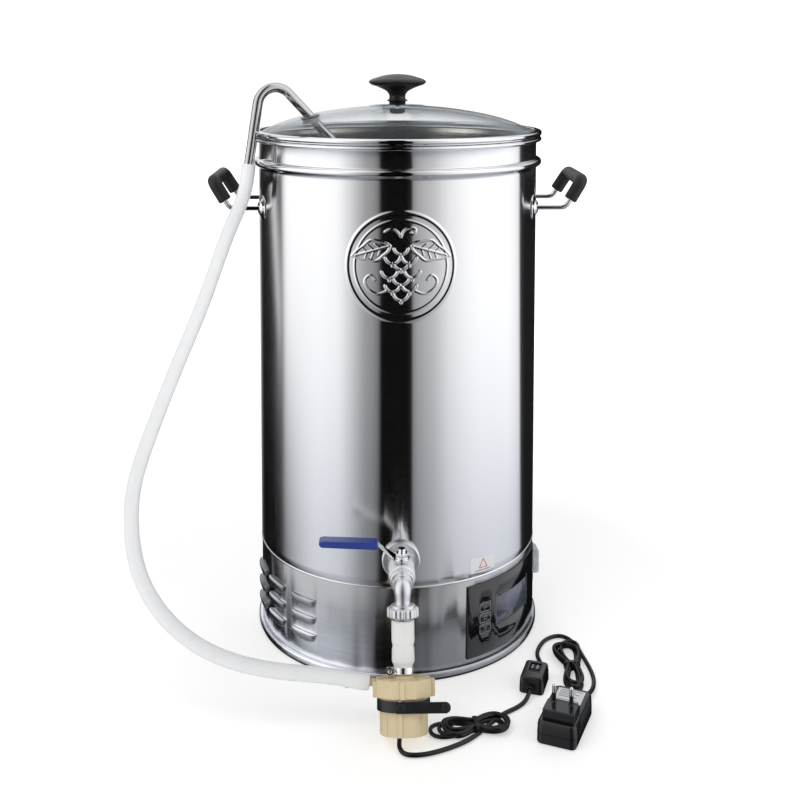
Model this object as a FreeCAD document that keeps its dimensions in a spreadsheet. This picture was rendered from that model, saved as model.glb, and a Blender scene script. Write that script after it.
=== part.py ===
import FreeCAD, Part
import Sketcher
import math
import os
from FreeCAD import Vector, Placement, Rotation

os.makedirs("parts", exist_ok=True)

# Electric brew kettle: a 350 mm stainless boiler on a base skirt with heater and
# controls, a malt pipe with two sieves, a glass lid, a ball valve with a small
# circulation pump, a recirculation hose and pipe, and the pump's adapter.
# Frame: +Z up, origin on the boiler's axis at floor level, front is -Y, right is +X.
# Azimuths are degrees from the front toward the right.

# Driving dimensions: alias, value, note.
DIMENSIONS = [
    # boiler
    ("body_r", 175.0, "boiler outer radius"),
    ("wall_t", 1.2, "boiler wall"),
    ("seam_z", 112.7, "joint between boiler and skirt"),
    ("floor_z", 116.0, "underside of the boiler floor"),
    ("rim_z", 623.4, "top of the rolled rim"),
    ("bead_z", 592.6, "stiffening bead centre"),
    ("bead_out", 6.4, "bead stands out of the wall"),
    ("emblem_z", 487.4, "emblem centre"),
    ("emblem_rad", 64.0, "emblem outer radius"),
    ("emblem_up", 1.3, "emblem relief"),
    # base
    ("skirt_r", 174.8, "skirt outer radius"),
    ("skirt_t", 1.0, "skirt wall"),
    ("skirt_bottom", 12.0, "skirt lower edge"),
    ("tray_rad", 179.5, "base tray rim radius"),
    ("tray_top", 10.0, "base tray rim height"),
    ("vent_rad", 4.0, "vent hole radius"),
    ("screw_pcd_r", 165.0, "base screws circle radius"),
    # controls
    ("panel_az0", 26.3, "panel left edge, azimuth"),
    ("panel_az1", 79.2, "panel right edge"),
    ("panel_z0", 15.5, "panel lower edge"),
    ("panel_z1", 104.0, "panel upper edge"),
    ("panel_out", 176.0, "panel outer radius"),
    ("lcd_az0", 41.0, "display left edge"),
    ("lcd_az1", 64.5, "display right edge"),
    ("lcd_z0", 46.0, "display lower edge"),
    ("lcd_z1", 80.0, "display upper edge"),
    ("key_w", 17.6, "key width"),
    ("key_tall", 11.4, "key height"),
    ("key_gap", 0.2, "gap around a key"),
    ("switch_az", 94.5, "power switch azimuth"),
    ("switch_w", 30.0, "switch flange width"),
    ("switch_tall", 44.0, "switch flange height"),
    # lid
    ("band_rad", 181.6, "lid band radius"),
    ("glass_t", 4.0, "glass thickness"),
    ("goose_az", 22.5, "gooseneck plane, degrees in front of -X"),
    ("goose_rad", 6.0, "gooseneck tube radius"),
    ("goose_bore", 5.0, "gooseneck bore radius"),
    ("grommet_hole", 13.0, "lid hole radius"),
    # malt pipe
    ("malt_r", 140.0, "malt pipe outer radius"),
    ("malt_t", 1.0, "malt pipe wall"),
    ("malt_z0", 150.5, "malt pipe lower edge"),
    ("malt_z1", 560.0, "malt pipe upper edge"),
    ("sieve_r", 137.8, "sieve radius"),
    ("sieve_t", 1.5, "sieve thickness"),
    ("overflow_r", 12.0, "overflow pipe outer radius"),
    # valve
    ("tap_z", 147.0, "valve axis height"),
    ("ball_y", -211.0, "ball centre"),
    ("ball_rad", 12.0, "ball radius"),
    ("stem_rad", 4.0, "stem radius"),
    ("elbow_y", -246.0, "elbow corner"),
    ("elbow_tilt", 14.0, "outlet leg leans forward, degrees"),
    ("leg_rad", 8.0, "outlet leg radius"),
    # pump
    ("pump_y", -295.0, "pump foot centre"),
    ("pump_z", 9.9, "pump foot centre"),
    ("pump_tilt", 22.0, "pump leans back, degrees"),
    ("motor_rad", 26.0, "pump housing radius"),
    ("motor_len", 37.0, "pump housing length"),
    ("head_len", 18.0, "pump head length"),
    # hoses and cables
    ("hose_rad", 8.5, "recirculation hose outer radius"),
    ("hose_bore", 5.1, "recirculation hose bore radius"),
    ("cable_rad", 2.7, "cable radius"),
    # handles
    ("wire_rad", 3.15, "handle wire radius"),
    ("grip_rad", 8.0, "grip radius"),
    ("leg_y", 54.0, "half the spacing of the handle legs"),
    ("leg_z", 538.5, "handle legs height"),
    # adapter
    ("pin_rad", 2.0, "plug pin radius"),
    ("pin_half", 9.5, "half the pin spacing"),
    ("pin_tip", 55.5, "pin tips"),
    ("case_top", 25.0, "adapter case height"),
]

doc = FreeCAD.newDocument("brew_kettle")
sheet = doc.addObject("Spreadsheet::Sheet", "Dimensions")
for line, (alias, value, note) in enumerate(DIMENSIONS, 1):
    sheet.set("A%d" % line, alias)
    sheet.set("B%d" % line, repr(value))
    sheet.set("C%d" % line, note)
    sheet.setAlias("B%d" % line, alias)
doc.recompute()
DIM = {alias: value for alias, value, _ in DIMENSIONS}
NODES = {}

# Rotations that turn +Z to another axis.
TO_X = Rotation(Vector(0, 1, 0), 90)
TO_NEG_X = Rotation(Vector(0, 1, 0), -90)
TO_Y = Rotation(Vector(1, 0, 0), -90)
TO_NEG_Y = Rotation(Vector(1, 0, 0), 90)


# ------------------------------------------------------- dimensions and binding
# A size is a number, or text in which {alias} stands for a cell of the sheet.
def formula(text):
    """Expression text: aliases in braces become references to the sheet."""
    return text.replace("{", "Dimensions.").replace("}", "")


def value_of(size):
    """The number a size stands for; text may hold sums and differences."""
    if not isinstance(size, str):
        return float(size)
    total = 0.0
    for term in size.replace("-", "+-").split("+"):
        word = term.strip(" -")
        number = DIM[word.strip("{}")] if word[0] == "{" else float(word)
        total += -number if "-" in term else number
    return total


def put(obj, **sizes):
    for prop, size in sizes.items():
        if isinstance(size, str):
            obj.setExpression(prop, formula(size))
        else:
            setattr(obj, prop, size)


def bind_z(obj, text):
    obj.setExpression("Placement.Base.z", formula(text))
    return obj


def constrain(sketch, constraint_args, size):
    """Add a dimensional constraint, bound to the sheet when the size is text."""
    index = sketch.addConstraint(Sketcher.Constraint(*constraint_args, value_of(size)))
    if isinstance(size, str):
        sketch.setExpression("Constraints[%d]" % index, formula(size))


# ------------------------------------------------------------------- placements
def at(x, y, z, turn=0.0):
    """Placed at a point, turned about Z by degrees."""
    return Placement(Vector(x, y, z), Rotation(Vector(0, 0, 1), turn))


def along(point, direction):
    """Place a thing built along +Z at the point, along the direction."""
    return Placement(Vector(*point), Rotation(Vector(0, 0, 1), Vector(*direction)))


def placer(frame):
    """A function giving placements in the frame's own coordinates."""
    def place(x, y, z, turn=Rotation()):
        return frame * Placement(Vector(x, y, z), turn)
    return place


def point_in(frame, x, y, z):
    return frame.multVec(Vector(x, y, z))


def direction_in(frame, x, y, z):
    return frame.Rotation.multVec(Vector(x, y, z))


def wall_frame(azimuth, radius, z):
    """Frame at an azimuth and radius: +Y points outward, +Z up."""
    a = math.radians(azimuth)
    return at(radius * math.sin(a), -radius * math.cos(a), z, 180.0 + azimuth)


def polar(radius, degrees):
    a = math.radians(degrees)
    return (radius * math.cos(a), radius * math.sin(a))


def regular(sides, inradius):
    """Corners of a regular polygon with one flat square to +X."""
    radius = inradius / math.cos(math.radians(180 / sides))
    return [polar(radius, 360 / sides * i + 180 / sides) for i in range(sides)]


# -------------------------------------------------------------- document objects
def primitive(kind, name, place, **sizes):
    obj = doc.addObject("Part::" + kind, name)
    put(obj, **sizes)
    if place is not None:
        obj.Placement = place
    return obj


def cyl(name, radius, height, place=None):
    return primitive("Cylinder", name, place, Radius=radius, Height=height)


def cone(name, radius1, radius2, height, place):
    return primitive("Cone", name, place, Radius1=radius1, Radius2=radius2, Height=height)


def box(name, length, width, height, place):
    return primitive("Box", name, place, Length=length, Width=width, Height=height)


def ball(name, radius, place):
    return primitive("Sphere", name, place, Radius=radius)


def fuse(name, parts):
    obj = doc.addObject("Part::MultiFuse", name)
    obj.Shapes = parts
    return obj


def group(name, parts):
    obj = doc.addObject("Part::Compound", name)
    obj.Links = parts
    return obj


def common(name, a, b):
    obj = doc.addObject("Part::MultiCommon", name)
    obj.Shapes = [a, b]
    return obj


def cut(name, base, *tools):
    tool = tools[0] if len(tools) == 1 else fuse(name + "_tools", list(tools))
    obj = doc.addObject("Part::Cut", name)
    obj.Base = base
    obj.Tool = tool
    doc.recompute()
    if not (0 < obj.Shape.Volume < base.Shape.Volume - 1e-3):
        raise RuntimeError("cut %s removed nothing" % name)
    return obj


def feature(name, shape):
    obj = doc.addObject("Part::Feature", name)
    obj.Shape = shape
    return obj


def mirror_x(name, source):
    obj = doc.addObject("Part::Mirroring", name)
    obj.Source = source
    obj.Normal = Vector(1, 0, 0)
    return obj


def edges_where(base, wanted):
    """Numbers of the edges for which wanted(edge) is true."""
    doc.recompute()
    return [i for i, edge in enumerate(base.Shape.Edges, 1) if wanted(edge)]


def soften(kind, name, base, edges, size):
    """Fillet or chamfer the numbered edges."""
    obj = doc.addObject("Part::" + kind, name)
    obj.Base = base
    obj.Edges = [(i, size, size) for i in edges]
    doc.recompute()
    return obj


def node(obj, label):
    """Register a finished piece under the name of its file."""
    obj.Label = label
    NODES[label] = obj


# ------------------------------------------------------------ sketches and bodies
def sketch_on(body, role, name):
    sketch = body.newObject("Sketcher::SketchObject", name)
    plane = next(f for f in body.Origin.OriginFeatures if f.Role == role)
    sketch.AttachmentSupport = [(plane, "")]
    sketch.MapMode = "FlatFace"
    return sketch


def polygon(sketch, points):
    """Closed polygon whose corners are held by dimensions, bound where given as text."""
    values = [(value_of(x), value_of(y)) for x, y in points]
    count = len(points)
    for i in range(count):
        a, b = values[i], values[(i + 1) % count]
        sketch.addGeometry(Part.LineSegment(Vector(*a, 0), Vector(*b, 0)), False)
    for i in range(count):
        sketch.addConstraint(Sketcher.Constraint("Coincident", i, 2, (i + 1) % count, 1))
    for i, point in enumerate(points):
        for kind, axis, size, value in zip(("DistanceX", "DistanceY"), (-2, -1), point, values[i]):
            if abs(value) < 1e-9:
                sketch.addConstraint(Sketcher.Constraint("PointOnObject", i, 1, axis))
            else:
                constrain(sketch, (kind, i, 1), size)


def revolve(body, sketch, name):
    turn = body.newObject("PartDesign::Revolution", name + "_turn")
    turn.Profile = sketch
    turn.ReferenceAxis = (sketch, ["V_Axis"])
    turn.Angle = 360.0
    doc.recompute()
    return body


def turned(name, points):
    """A body turned about Z from a polygon of (radius, height)."""
    body = doc.addObject("PartDesign::Body", name)
    sketch = sketch_on(body, "XZ_Plane", name + "_profile")
    polygon(sketch, points)
    return revolve(body, sketch, name)


def turned_smooth(name, runs):
    """A body turned about Z from runs of ("line" or "spline", points)."""
    body = doc.addObject("PartDesign::Body", name)
    sketch = sketch_on(body, "XZ_Plane", name + "_profile")
    for kind, points in runs:
        corners = [Vector(x, y, 0) for x, y in points]
        if kind == "line":
            for a, b in zip(corners, corners[1:]):
                sketch.addGeometry(Part.LineSegment(a, b), False)
        else:
            curve = Part.BSplineCurve()
            curve.interpolate(corners)
            sketch.addGeometry(curve, False)
    return revolve(body, sketch, name)


def prism(name, points, length, place=None, sym=False):
    """A polygon on XY padded along Z, to both sides when sym is set."""
    body = doc.addObject("PartDesign::Body", name)
    sketch = sketch_on(body, "XY_Plane", name + "_outline")
    polygon(sketch, points)
    pad = body.newObject("PartDesign::Pad", name + "_pad")
    pad.Profile = sketch
    put(pad, Length=length)
    if sym:
        pad.Midplane = True
    doc.recompute()
    if place is not None:
        body.Placement = place
    return body


def perforate(body, name, rows, radius, count, depth):
    """Cut rings of holes round Z; rows are the ring radii, count the holes in each."""
    before = body.Shape.Volume
    holes = sketch_on(body, "XY_Plane", name + "_holes")
    for i, row in enumerate(rows):
        circle = Part.Circle(Vector(row, 0, 0), Vector(0, 0, 1), value_of(radius))
        holes.addGeometry(circle, False)
        holes.addConstraint(Sketcher.Constraint("PointOnObject", i, 3, -1))
        constrain(holes, ("DistanceX", i, 3), row)
        constrain(holes, ("Radius", i), radius)
    pocket = body.newObject("PartDesign::Pocket", name + "_perforation")
    pocket.Profile = holes
    pocket.Midplane = True
    pocket.Length = depth
    doc.recompute()
    ring = body.newObject("PartDesign::PolarPattern", name + "_ring")
    ring.Originals = [pocket]
    ring.Axis = (holes, ["N_Axis"])
    ring.Angle = 360.0
    ring.Occurrences = count
    body.Tip = ring
    doc.recompute()
    if body.Shape.Volume > before - 20.0 * len(rows) * count:
        raise RuntimeError("%s: holes not cut" % name)


def sector(name, inner, outer, z0, z1, az0, az1):
    """Part of a tube between two heights and two azimuths."""
    whole = cyl(name + "_o", outer, "(%s) - (%s)" % (z1, z0))
    core = cyl(name + "_i", inner, "(%s) - (%s)" % (z1, z0))
    bind_z(whole, "%s" % z0)
    bind_z(core, "%s" % z0)
    put(whole, Angle="(%s) - (%s)" % (az1, az0))
    whole.setExpression("Placement.Rotation.Angle", formula("(%s) - 90" % az0))
    # Any turn about Z fixes the axis; the expression then drives the angle.
    whole.Placement.Rotation = Rotation(Vector(0, 0, 1), 10)
    doc.recompute()
    return cut(name, whole, core)


# --------------------------------------------------------------- paths and sweeps
def rounded_path(points, radii):
    """Wire through corner points, each inner corner rounded by its radius."""
    points = [Vector(*p) for p in points]
    edges, last = [], points[0]
    for i, radius in enumerate(radii, 1):
        corner = points[i]
        back = (points[i - 1] - corner).normalize()
        ahead = (points[i + 1] - corner).normalize()
        half = back.getAngle(ahead) / 2
        trim = radius / math.tan(half)
        start, end = corner + back * trim, corner + ahead * trim
        inward = (back + ahead).normalize()
        middle = corner + inward * (radius / math.sin(half) - radius)
        if (start - last).Length > 1e-6:
            edges.append(Part.makeLine(last, start))
        edges.append(Part.Arc(start, middle, end).toShape())
        last = end
    edges.append(Part.makeLine(last, points[-1]))
    return Part.Wire(edges)


def spline_path(points, start, end):
    """Smooth wire through the points with the given end tangents."""
    curve = Part.BSplineCurve()
    curve.interpolate(Points=[Vector(*p) for p in points],
                      InitialTangent=Vector(*start), FinalTangent=Vector(*end))
    return Part.Wire([curve.toShape()])


def swept(name, wire, radius):
    """A circle swept along a wire."""
    path = feature(name + "_path", wire)
    first = wire.Edges[0]
    start = first.FirstParameter
    circle = primitive("Circle", name + "_section",
                       along(first.valueAt(start), first.tangentAt(start)), Radius=radius)
    sweep = doc.addObject("Part::Sweep", name)
    sweep.Sections = [circle]
    sweep.Spine = (path, ["Edge%d" % (i + 1) for i in range(len(wire.Edges))])
    sweep.Solid = True
    sweep.Frenet = False
    sweep.Transition = "Right corner"
    doc.recompute()
    return sweep


def on_tap(y):
    """On the valve axis at this Y, pointing along -Y."""
    return Placement(Vector(0, y, DIM["tap_z"]), TO_NEG_Y)


# ---------------------------------------------------------------- boiler shell
# (radius, height): up the outside, over the rim, down the inside.
wall = turned("wall_shell", [
    ("{body_r}", "{seam_z}"), ("{body_r}", "{bead_z} - 4.8"),
    ("{body_r} + 3.2", "{bead_z} - 3.9"), ("{body_r} + {bead_out}", "{bead_z} - 1.5"),
    ("{body_r} + {bead_out}", "{bead_z} + 1.5"), ("{body_r} + 3.2", "{bead_z} + 3.9"),
    ("{body_r}", "{bead_z} + 4.8"), ("{body_r}", "{rim_z} - 4.8"),
    ("{body_r} + 3.6", "{rim_z} - 4.4"), ("{body_r} + 5.9", "{rim_z} - 3.0"),
    ("{body_r} + 6.5", "{rim_z} - 1.8"), ("{body_r} + 5.9", "{rim_z} - 0.6"),
    ("{body_r} + 4.6", "{rim_z}"), ("{body_r} + 0.4", "{rim_z}"),
    ("{body_r} - {wall_t}", "{rim_z} - 1.2"),
    ("{body_r} - {wall_t}", "{bead_z} + 4.2"), ("{body_r} + 2.1", "{bead_z} + 3.0"),
    ("{body_r} + 5.1", "{bead_z} + 1.0"), ("{body_r} + 5.1", "{bead_z} - 1.0"),
    ("{body_r} + 2.1", "{bead_z} - 3.0"), ("{body_r} - {wall_t}", "{bead_z} - 4.2"),
    ("{body_r} - {wall_t}", "{seam_z}"),
])

# Round emblem in relief on the front: a double ring round a hop cone. The marks
# run through the wall along Y and are trimmed to a thin skin.
skin_out = bind_z(cyl("relief_out", "{body_r} + {emblem_up}", 150.0), "{emblem_z} - 75")
skin_in = bind_z(cyl("relief_in", "{body_r} - 0.6", 150.0), "{emblem_z} - 75")
skin = cut("relief_skin", skin_out, skin_in)


def emblem_ring(name, outer, inner, x=0, up=0):
    """A ring facing front, x and up from the emblem's centre."""
    place = Placement(Vector(x, -140, 0), TO_NEG_Y)
    height = "{emblem_z} + (%g)" % up
    return cut(name, bind_z(cyl(name + "_o", outer, 60.0, place), height),
               bind_z(cyl(name + "_i", inner, 60.0, place), height))


marks = [emblem_ring("emblem_ring_a", "{emblem_rad}", "{emblem_rad} - 3.2"),
         emblem_ring("emblem_ring_b", "{emblem_rad} - 9.5", "{emblem_rad} - 11.5")]
# x, height above the emblem centre, outer radius
HOP_SCALES = [(0, 21, 9.0), (-11, 11, 9.0), (11, 11, 9.0), (0, 4, 9.0), (-13, -6, 9.0),
              (13, -6, 9.0), (0, -12, 9.0), (-9, -21, 8.0), (9, -21, 8.0), (0, -29, 7.0)]
scale_line = 1.6
scales = [emblem_ring("scale%d" % k, radius, radius - scale_line, x, up)
          for k, (x, up, radius) in enumerate(HOP_SCALES)]
stalk = box("hop_stalk", 3.0, 60.0, 12.0, at(-1.5, -200, DIM["emblem_z"] + 29))
relief = common("emblem_relief", fuse("emblem_marks", marks + scales + [stalk]), skin)
tap_hole = bind_z(cyl("tap_hole", 10.6, 30.0, on_tap(-160)), "{tap_z}")
node(cut("boiler_shell", fuse("wall_and_emblem", [wall, relief]), tap_hole), "boiler_wall")

pan = turned("floor_pan", [
    (0, "{floor_z}"), ("{body_r} - {wall_t}", "{floor_z}"),
    ("{body_r} - {wall_t}", "{floor_z} + 6"), ("{body_r} - {wall_t} - 1.2", "{floor_z} + 6"),
    ("{body_r} - {wall_t} - 1.2", "{floor_z} + 1.2"), (0, "{floor_z} + 1.2")])
probe_x, probe_y = -92.0, -92.0
probe_hole = cyl("probe_hole", 3.0, 20.0, at(probe_x, probe_y, 108))
node(cut("floor_cut", pan, probe_hole), "boiler_bottom")

# ------------------------------------------------------------------ base skirt
switch_z = 60.0
switch_frame = wall_frame(DIM["switch_az"], 0, switch_z)
on_switch = placer(switch_frame)

skirt = turned("skirt_shell", [
    ("{skirt_r}", "{skirt_bottom}"), ("{skirt_r}", "{seam_z} - 0.5"),
    ("{skirt_r} - {skirt_t}", "{seam_z} - 0.5"), ("{skirt_r} - {skirt_t}", "{floor_z} - 0.1"),
    ("{skirt_r} - 2.2", "{floor_z} - 0.1"), ("{skirt_r} - 2.2", "{seam_z} - 10"),
    ("{skirt_r} - {skirt_t}", "{seam_z} - 11.5"),
    ("{skirt_r} - {skirt_t}", "{skirt_bottom} + 1.2"),
    (160.0, "{skirt_bottom} + 1.2"), (160.0, "{skirt_bottom}")])
panel_gap = cyl("panel_gap", 200.0, 79.6, at(0, 0, 20.2, 28.7 - 90))
panel_gap.Angle = 48.1
panel_hole = cut("panel_hole", panel_gap, cyl("panel_gap_in", 150.0, 90.0, at(0, 0, 15)))
switch_hole = box("switch_hole", 24.0, 50.0, 38.0, on_switch(-12, 150, -19))
inlet_hole = box("inlet_hole", 28.0, 50.0, 22.0, at(-14, 150, 49))
SCREW_SPOTS = [polar(DIM["screw_pcd_r"], 60 * k + 30) for k in range(6)]


def screw_holes(name):
    return [cyl("%s%d" % (name, k), 1.55, 30.0, at(x, y, 0))
            for k, (x, y) in enumerate(SCREW_SPOTS)]


# Nine pressed louvres on the left front, in three columns of three: each is the
# lower half of an ellipsoid, hollowed by a smaller one that leaves it open below.
LOUVRES = [(azimuth, z) for azimuth in (-41.2, -58.7, -75.9) for z in (82.8, 61.5, 40.5)]


def louvre_egg(azimuth, z, shrink):
    matrix = FreeCAD.Matrix()
    matrix.scale(20.0 - shrink, 6.0 - shrink, 12.0 - shrink)
    egg = Part.makeSphere(1.0).transformGeometry(matrix)
    egg = egg.common(Part.makeBox(60, 60, 30 - shrink, Vector(-30, -30, -30)))
    if shrink == 0.0:
        egg = egg.common(Part.makeBox(60, 30, 60, Vector(-30, 0, -30)))
    egg.Placement = wall_frame(azimuth, 173.4, z)
    return egg


skirt_bore = Part.makeCylinder(DIM["skirt_r"] - DIM["skirt_t"], 130)
hoods = feature("louvre_hoods", Part.makeCompound(
    [louvre_egg(azimuth, z, 0.0).cut(skirt_bore) for azimuth, z in LOUVRES]))
mouths = feature("louvre_mouths", Part.makeCompound(
    [louvre_egg(azimuth, z, 1.2) for azimuth, z in LOUVRES]))
skirt_cut = cut("skirt_cut", skirt, panel_hole, switch_hole, inlet_hole,
                *screw_holes("screw_hole"))
node(cut("skirt_pressed", fuse("skirt_with_hoods", [skirt_cut, hoods]), mouths), "base_skirt")

# Base tray with a rolled rim and two rings of vents.
tray = turned("tray", [
    (0, 4.0), (157.0, 4.0), (170.0, 4.0), (172.4, 2.0), ("{tray_rad} - 1.5", 2.0),
    ("{tray_rad}", 3.5), ("{tray_rad}", "{tray_top} - 1.5"), ("{tray_rad} - 1.5", "{tray_top}"),
    (173.2, "{tray_top}"), (173.2, "{skirt_bottom}"), (159.0, "{skirt_bottom}"),
    (159.0, 10.8), (157.0, 5.2), (0, 5.2)])
perforate(tray, "vent", (120.0, 98.0), "{vent_rad}", 18, 30.0)
node(cut("tray_cut", tray, *screw_holes("tray_hole")), "base_tray")
node(turned("foot", [(174.2, 0), (178.0, 0), (178.0, 2.0), (174.2, 2.0)]), "foot_ring")

screws = []
for k, (x, y) in enumerate(SCREW_SPOTS):
    shaft = cyl("screw_shaft%d" % k, 1.5, 15.0, at(x, y, 3.0))
    head = cone("screw_head%d" % k, 2.4, 3.4, 2.4, at(x, y, 1.6))
    slot = box("screw_slot%d" % k, 5.2, 0.8, 1.0, at(x - 2.6, y - 0.4, 1.0))
    screws.append(cut("screw%d" % k, fuse("screw_blank%d" % k, [shaft, head]), slot))
node(group("base_screw_set", screws), "base_screws")

# ---------------------------------------------------------------- heater group
coil_r, coil_sweep = 85.0, 330.0
plate = bind_z(cyl("heater_plate", 110.0, 4.0), "{floor_z} - 4")
coil = bind_z(primitive("Torus", "heater_coil", None, Radius1=coil_r, Radius2=4.0,
                        Angle3=coil_sweep), "{floor_z} - 6")
cold_pins = [cyl("cold_pin_" + tag, 3.0, 18.0, at(*polar(coil_r, angle), 93))
             for tag, angle in (("a", 0), ("b", coil_sweep))]
node(fuse("heater", [plate, coil] + cold_pins), "heating_element")

node(fuse("probe", [
    cyl("probe_stem", 2.98, 26.0, at(probe_x, probe_y, 104.0)),
    prism("probe_hex", [polar(6, 60 * i) for i in range(6)], 4.0,
          at(probe_x, probe_y, 112.0))]), "temperature_probe")

node(fuse("cutout", [
    cyl("cutout_can", 8.0, 8.0, at(0, 0, 104.0)),
    cyl("cutout_cap", 9.5, 2.0, at(0, 0, 105.0)),
    box("cutout_tab_a", 0.8, 6.3, 8.0, at(-4.4, -3.15, 97.0)),
    box("cutout_tab_b", 0.8, 6.3, 8.0, at(3.6, -3.15, 97.0)),
    box("cutout_ears", 30.0, 7.0, 1.0, at(-15, -3.5, 111.0))]), "thermal_cutout")

# --------------------------------------------------------------- control panel
key_az = 35.05
KEYS = [("key_top", 73.4), ("key_middle", 60.4), ("key_bottom", 47.4)]  # name, centre height
half_w, half_tall, gap = DIM["key_w"] / 2, DIM["key_tall"] / 2, DIM["key_gap"]
on_keys = placer(wall_frame(key_az, 0, 0))

flange = sector("panel_flange", "{skirt_r}", "{panel_out}", "{panel_z0}", "{panel_z1}",
                "{panel_az0}", "{panel_az1}")
core = sector("panel_core", 172.0, "{panel_out} - 0.4", 20.5, 99.5, 28.9, 76.6)
lcd_hole = sector("lcd_hole", 160.0, 190.0, "{lcd_z0}", "{lcd_z1}", "{lcd_az0}", "{lcd_az1}")
key_holes = [box(name + "_hole", "{key_w} + 2 * {key_gap}", 30.0, "{key_tall} + 2 * {key_gap}",
                 on_keys(-half_w - gap, 160.0, z - half_tall - gap)) for name, z in KEYS]
node(cut("panel_cut", fuse("panel_blank", [flange, core]), lcd_hole, *key_holes),
     "control_panel")

# Display: a glass and neck that fit the window, on a wider back.
window_fit = ("{lcd_z0} + 0.15", "{lcd_z1} - 0.15", "{lcd_az0} + 0.06", "{lcd_az1} - 0.06")
glass = sector("lcd_glass", 172.4, "{panel_out} - 0.3", *window_fit)
back = sector("lcd_back", 164.0, 172.4, "{lcd_z0} - 4", "{lcd_z1} + 4",
              "{lcd_az0} - 1.2", "{lcd_az1} + 1.2")
back_trim = sector("lcd_back_trim", 171.9, 180.0, 30.0, 100.0, 30.0, 75.0)
back_cut = cut("lcd_back_cut", back, back_trim)
neck = sector("lcd_neck", 170.0, 172.5, *window_fit)
node(fuse("lcd_unit", [glass, neck, back_cut]), "display_module")

# Keys: caps rounded to the panel's curve, each with a stem behind.
for name, z in KEYS:
    cap = box(name + "_cap", "{key_w}", 7.0, "{key_tall}", on_keys(-half_w, 170.0, z - half_tall))
    cap_top = common(name + "_top", cap, cyl(name + "_skin", "{panel_out} - 0.1", 120.0))
    key_stem = cyl(name + "_stem", 2.0, 5.0, on_keys(0, 165.4, z, TO_Y))
    node(fuse(name + "_body", [cap_top, key_stem]), name)

# Control board behind the panel, trimmed to the curve of the wall.
on_board = placer(wall_frame(52.75, 145.0, 25.0))
spacers = [box("board_spacer_" + tag, 5.0, 21.0, 5.0, on_board(x, 0, z))
           for tag, x, z in (("a", -46, 64), ("b", 41, 64), ("c", -46, 3), ("d", 41, 3))]
board = fuse("board", [
    box("board_sheet", 96.0, 1.6, 72.0, on_board(-48, 0, 0)),
    box("board_terminals", 50.0, 10.0, 9.0, on_board(-25, -10, 4)),
    box("board_relay", 19.0, 15.0, 15.0, on_board(-44, -15, 30)),
    box("board_chip", 14.0, 2.0, 14.0, on_board(-6, -2, 38)),
    cyl("board_cap", 6.0, 16.0, on_board(30, -6, 40)),
    box("board_cap_foot", 10.0, 6.0, 3.0, on_board(25, -6, 40))] + spacers)
node(common("board_fit", board, cyl("board_trim", 172.0, 140.0)), "control_board")

# Finned heat sink with a triac beside it, on the base tray.
fins = [box("sink_fin%d" % k, 2.0, 50.0, 26.0, at(-70 + 7 * k, -20, 9.2)) for k in range(7)]
node(fuse("sink", [box("sink_base", 44.0, 50.0, 4.0, at(-70, -20, 5.2))] + fins + [
    box("triac", 16.0, 6.0, 20.0, at(-59.5, 31, 6.2)),
    box("triac_foot", 20.0, 12.0, 2.0, at(-61.5, 27, 5.2))]), "power_module")

# ---------------------------------------------------------------- power switch
# On the right, in the wall's own frame: bezel, rocker and splash boot.
axle_y = 171.0
switch_flange = box("bezel_flange", "{switch_w}", 7.3, "{switch_tall}",
                    on_switch(-DIM["switch_w"] / 2, 170, -DIM["switch_tall"] / 2))
switch_face = cut("bezel_face", switch_flange, cyl("bezel_drum", "{skirt_r}", 140.0))
switch_body = box("bezel_body", 23.6, 26.8, 37.6, on_switch(-11.8, 150, -18.8))
switch_well = box("bezel_well", 18.0, 30.0, 30.4, on_switch(-9, 154, -15.2))
bezel = cut("bezel", fuse("bezel_blank", [switch_face, switch_body]), switch_well)
axle = cyl("bezel_pin", 1.6, 23.0, on_switch(-11.5, axle_y, 0, TO_X))
node(fuse("bezel_with_pin", [bezel, axle]), "switch_bezel")

on_rocker = placer(on_switch(0, axle_y, 0, Rotation(Vector(1, 0, 0), -8.0)))
node(cut("rocker", box("rocker_block", 17.6, 9.0, 27.0, on_rocker(-8.8, -3.5, -13.5)),
         cyl("rocker_dish", 60.0, 30.0, on_rocker(-15, 64.0, 0, TO_X)),
         cyl("rocker_bore", 1.65, 30.0, on_switch(-15, axle_y, 0, TO_X))), "power_rocker")

# The boot's edges beyond this radius, those round its outer face, are rounded.
boot_edge_r = 180.0
outward = direction_in(switch_frame, 0, 1, 0)
boot_block = box("boot_out", 25.0, 9.1, 31.0, on_switch(-12.5, 177.3, -14.5))
outer_edges = edges_where(boot_block, lambda e: e.CenterOfMass.dot(outward) > boot_edge_r)
boot_round = soften("Fillet", "boot_round", boot_block, outer_edges, 3.0)
node(cut("boot", boot_round, box("boot_in", 22.0, 7.6, 28.0, on_switch(-11, 177.2, -13.0))),
     "switch_boot")

# Mains inlet at the back: a flanged socket with three blades.
inlet_flange = box("inlet_flange", 50.0, 8.0, 30.0, at(-25, 170, 45))
inlet_face = cut("inlet_face", inlet_flange, cyl("inlet_drum", "{skirt_r}", 140.0))
inlet_body = box("inlet_body", 27.6, 28.0, 21.6, at(-13.8, 150, 49.2))
inlet_well = box("inlet_well", 22.0, 24.0, 17.0, at(-11, 156, 51.5))
inlet = cut("inlet_shell", fuse("inlet_blank", [inlet_face, inlet_body]), inlet_well)
blades = [box("blade%d" % k, 2.0, 20.0, 5.0, at(x, 155, z))
          for k, (x, z) in enumerate([(-8.0, 54.0), (6.0, 54.0), (-1.0, 60.5)])]
node(fuse("inlet_unit", [inlet] + blades), "mains_inlet")

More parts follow.
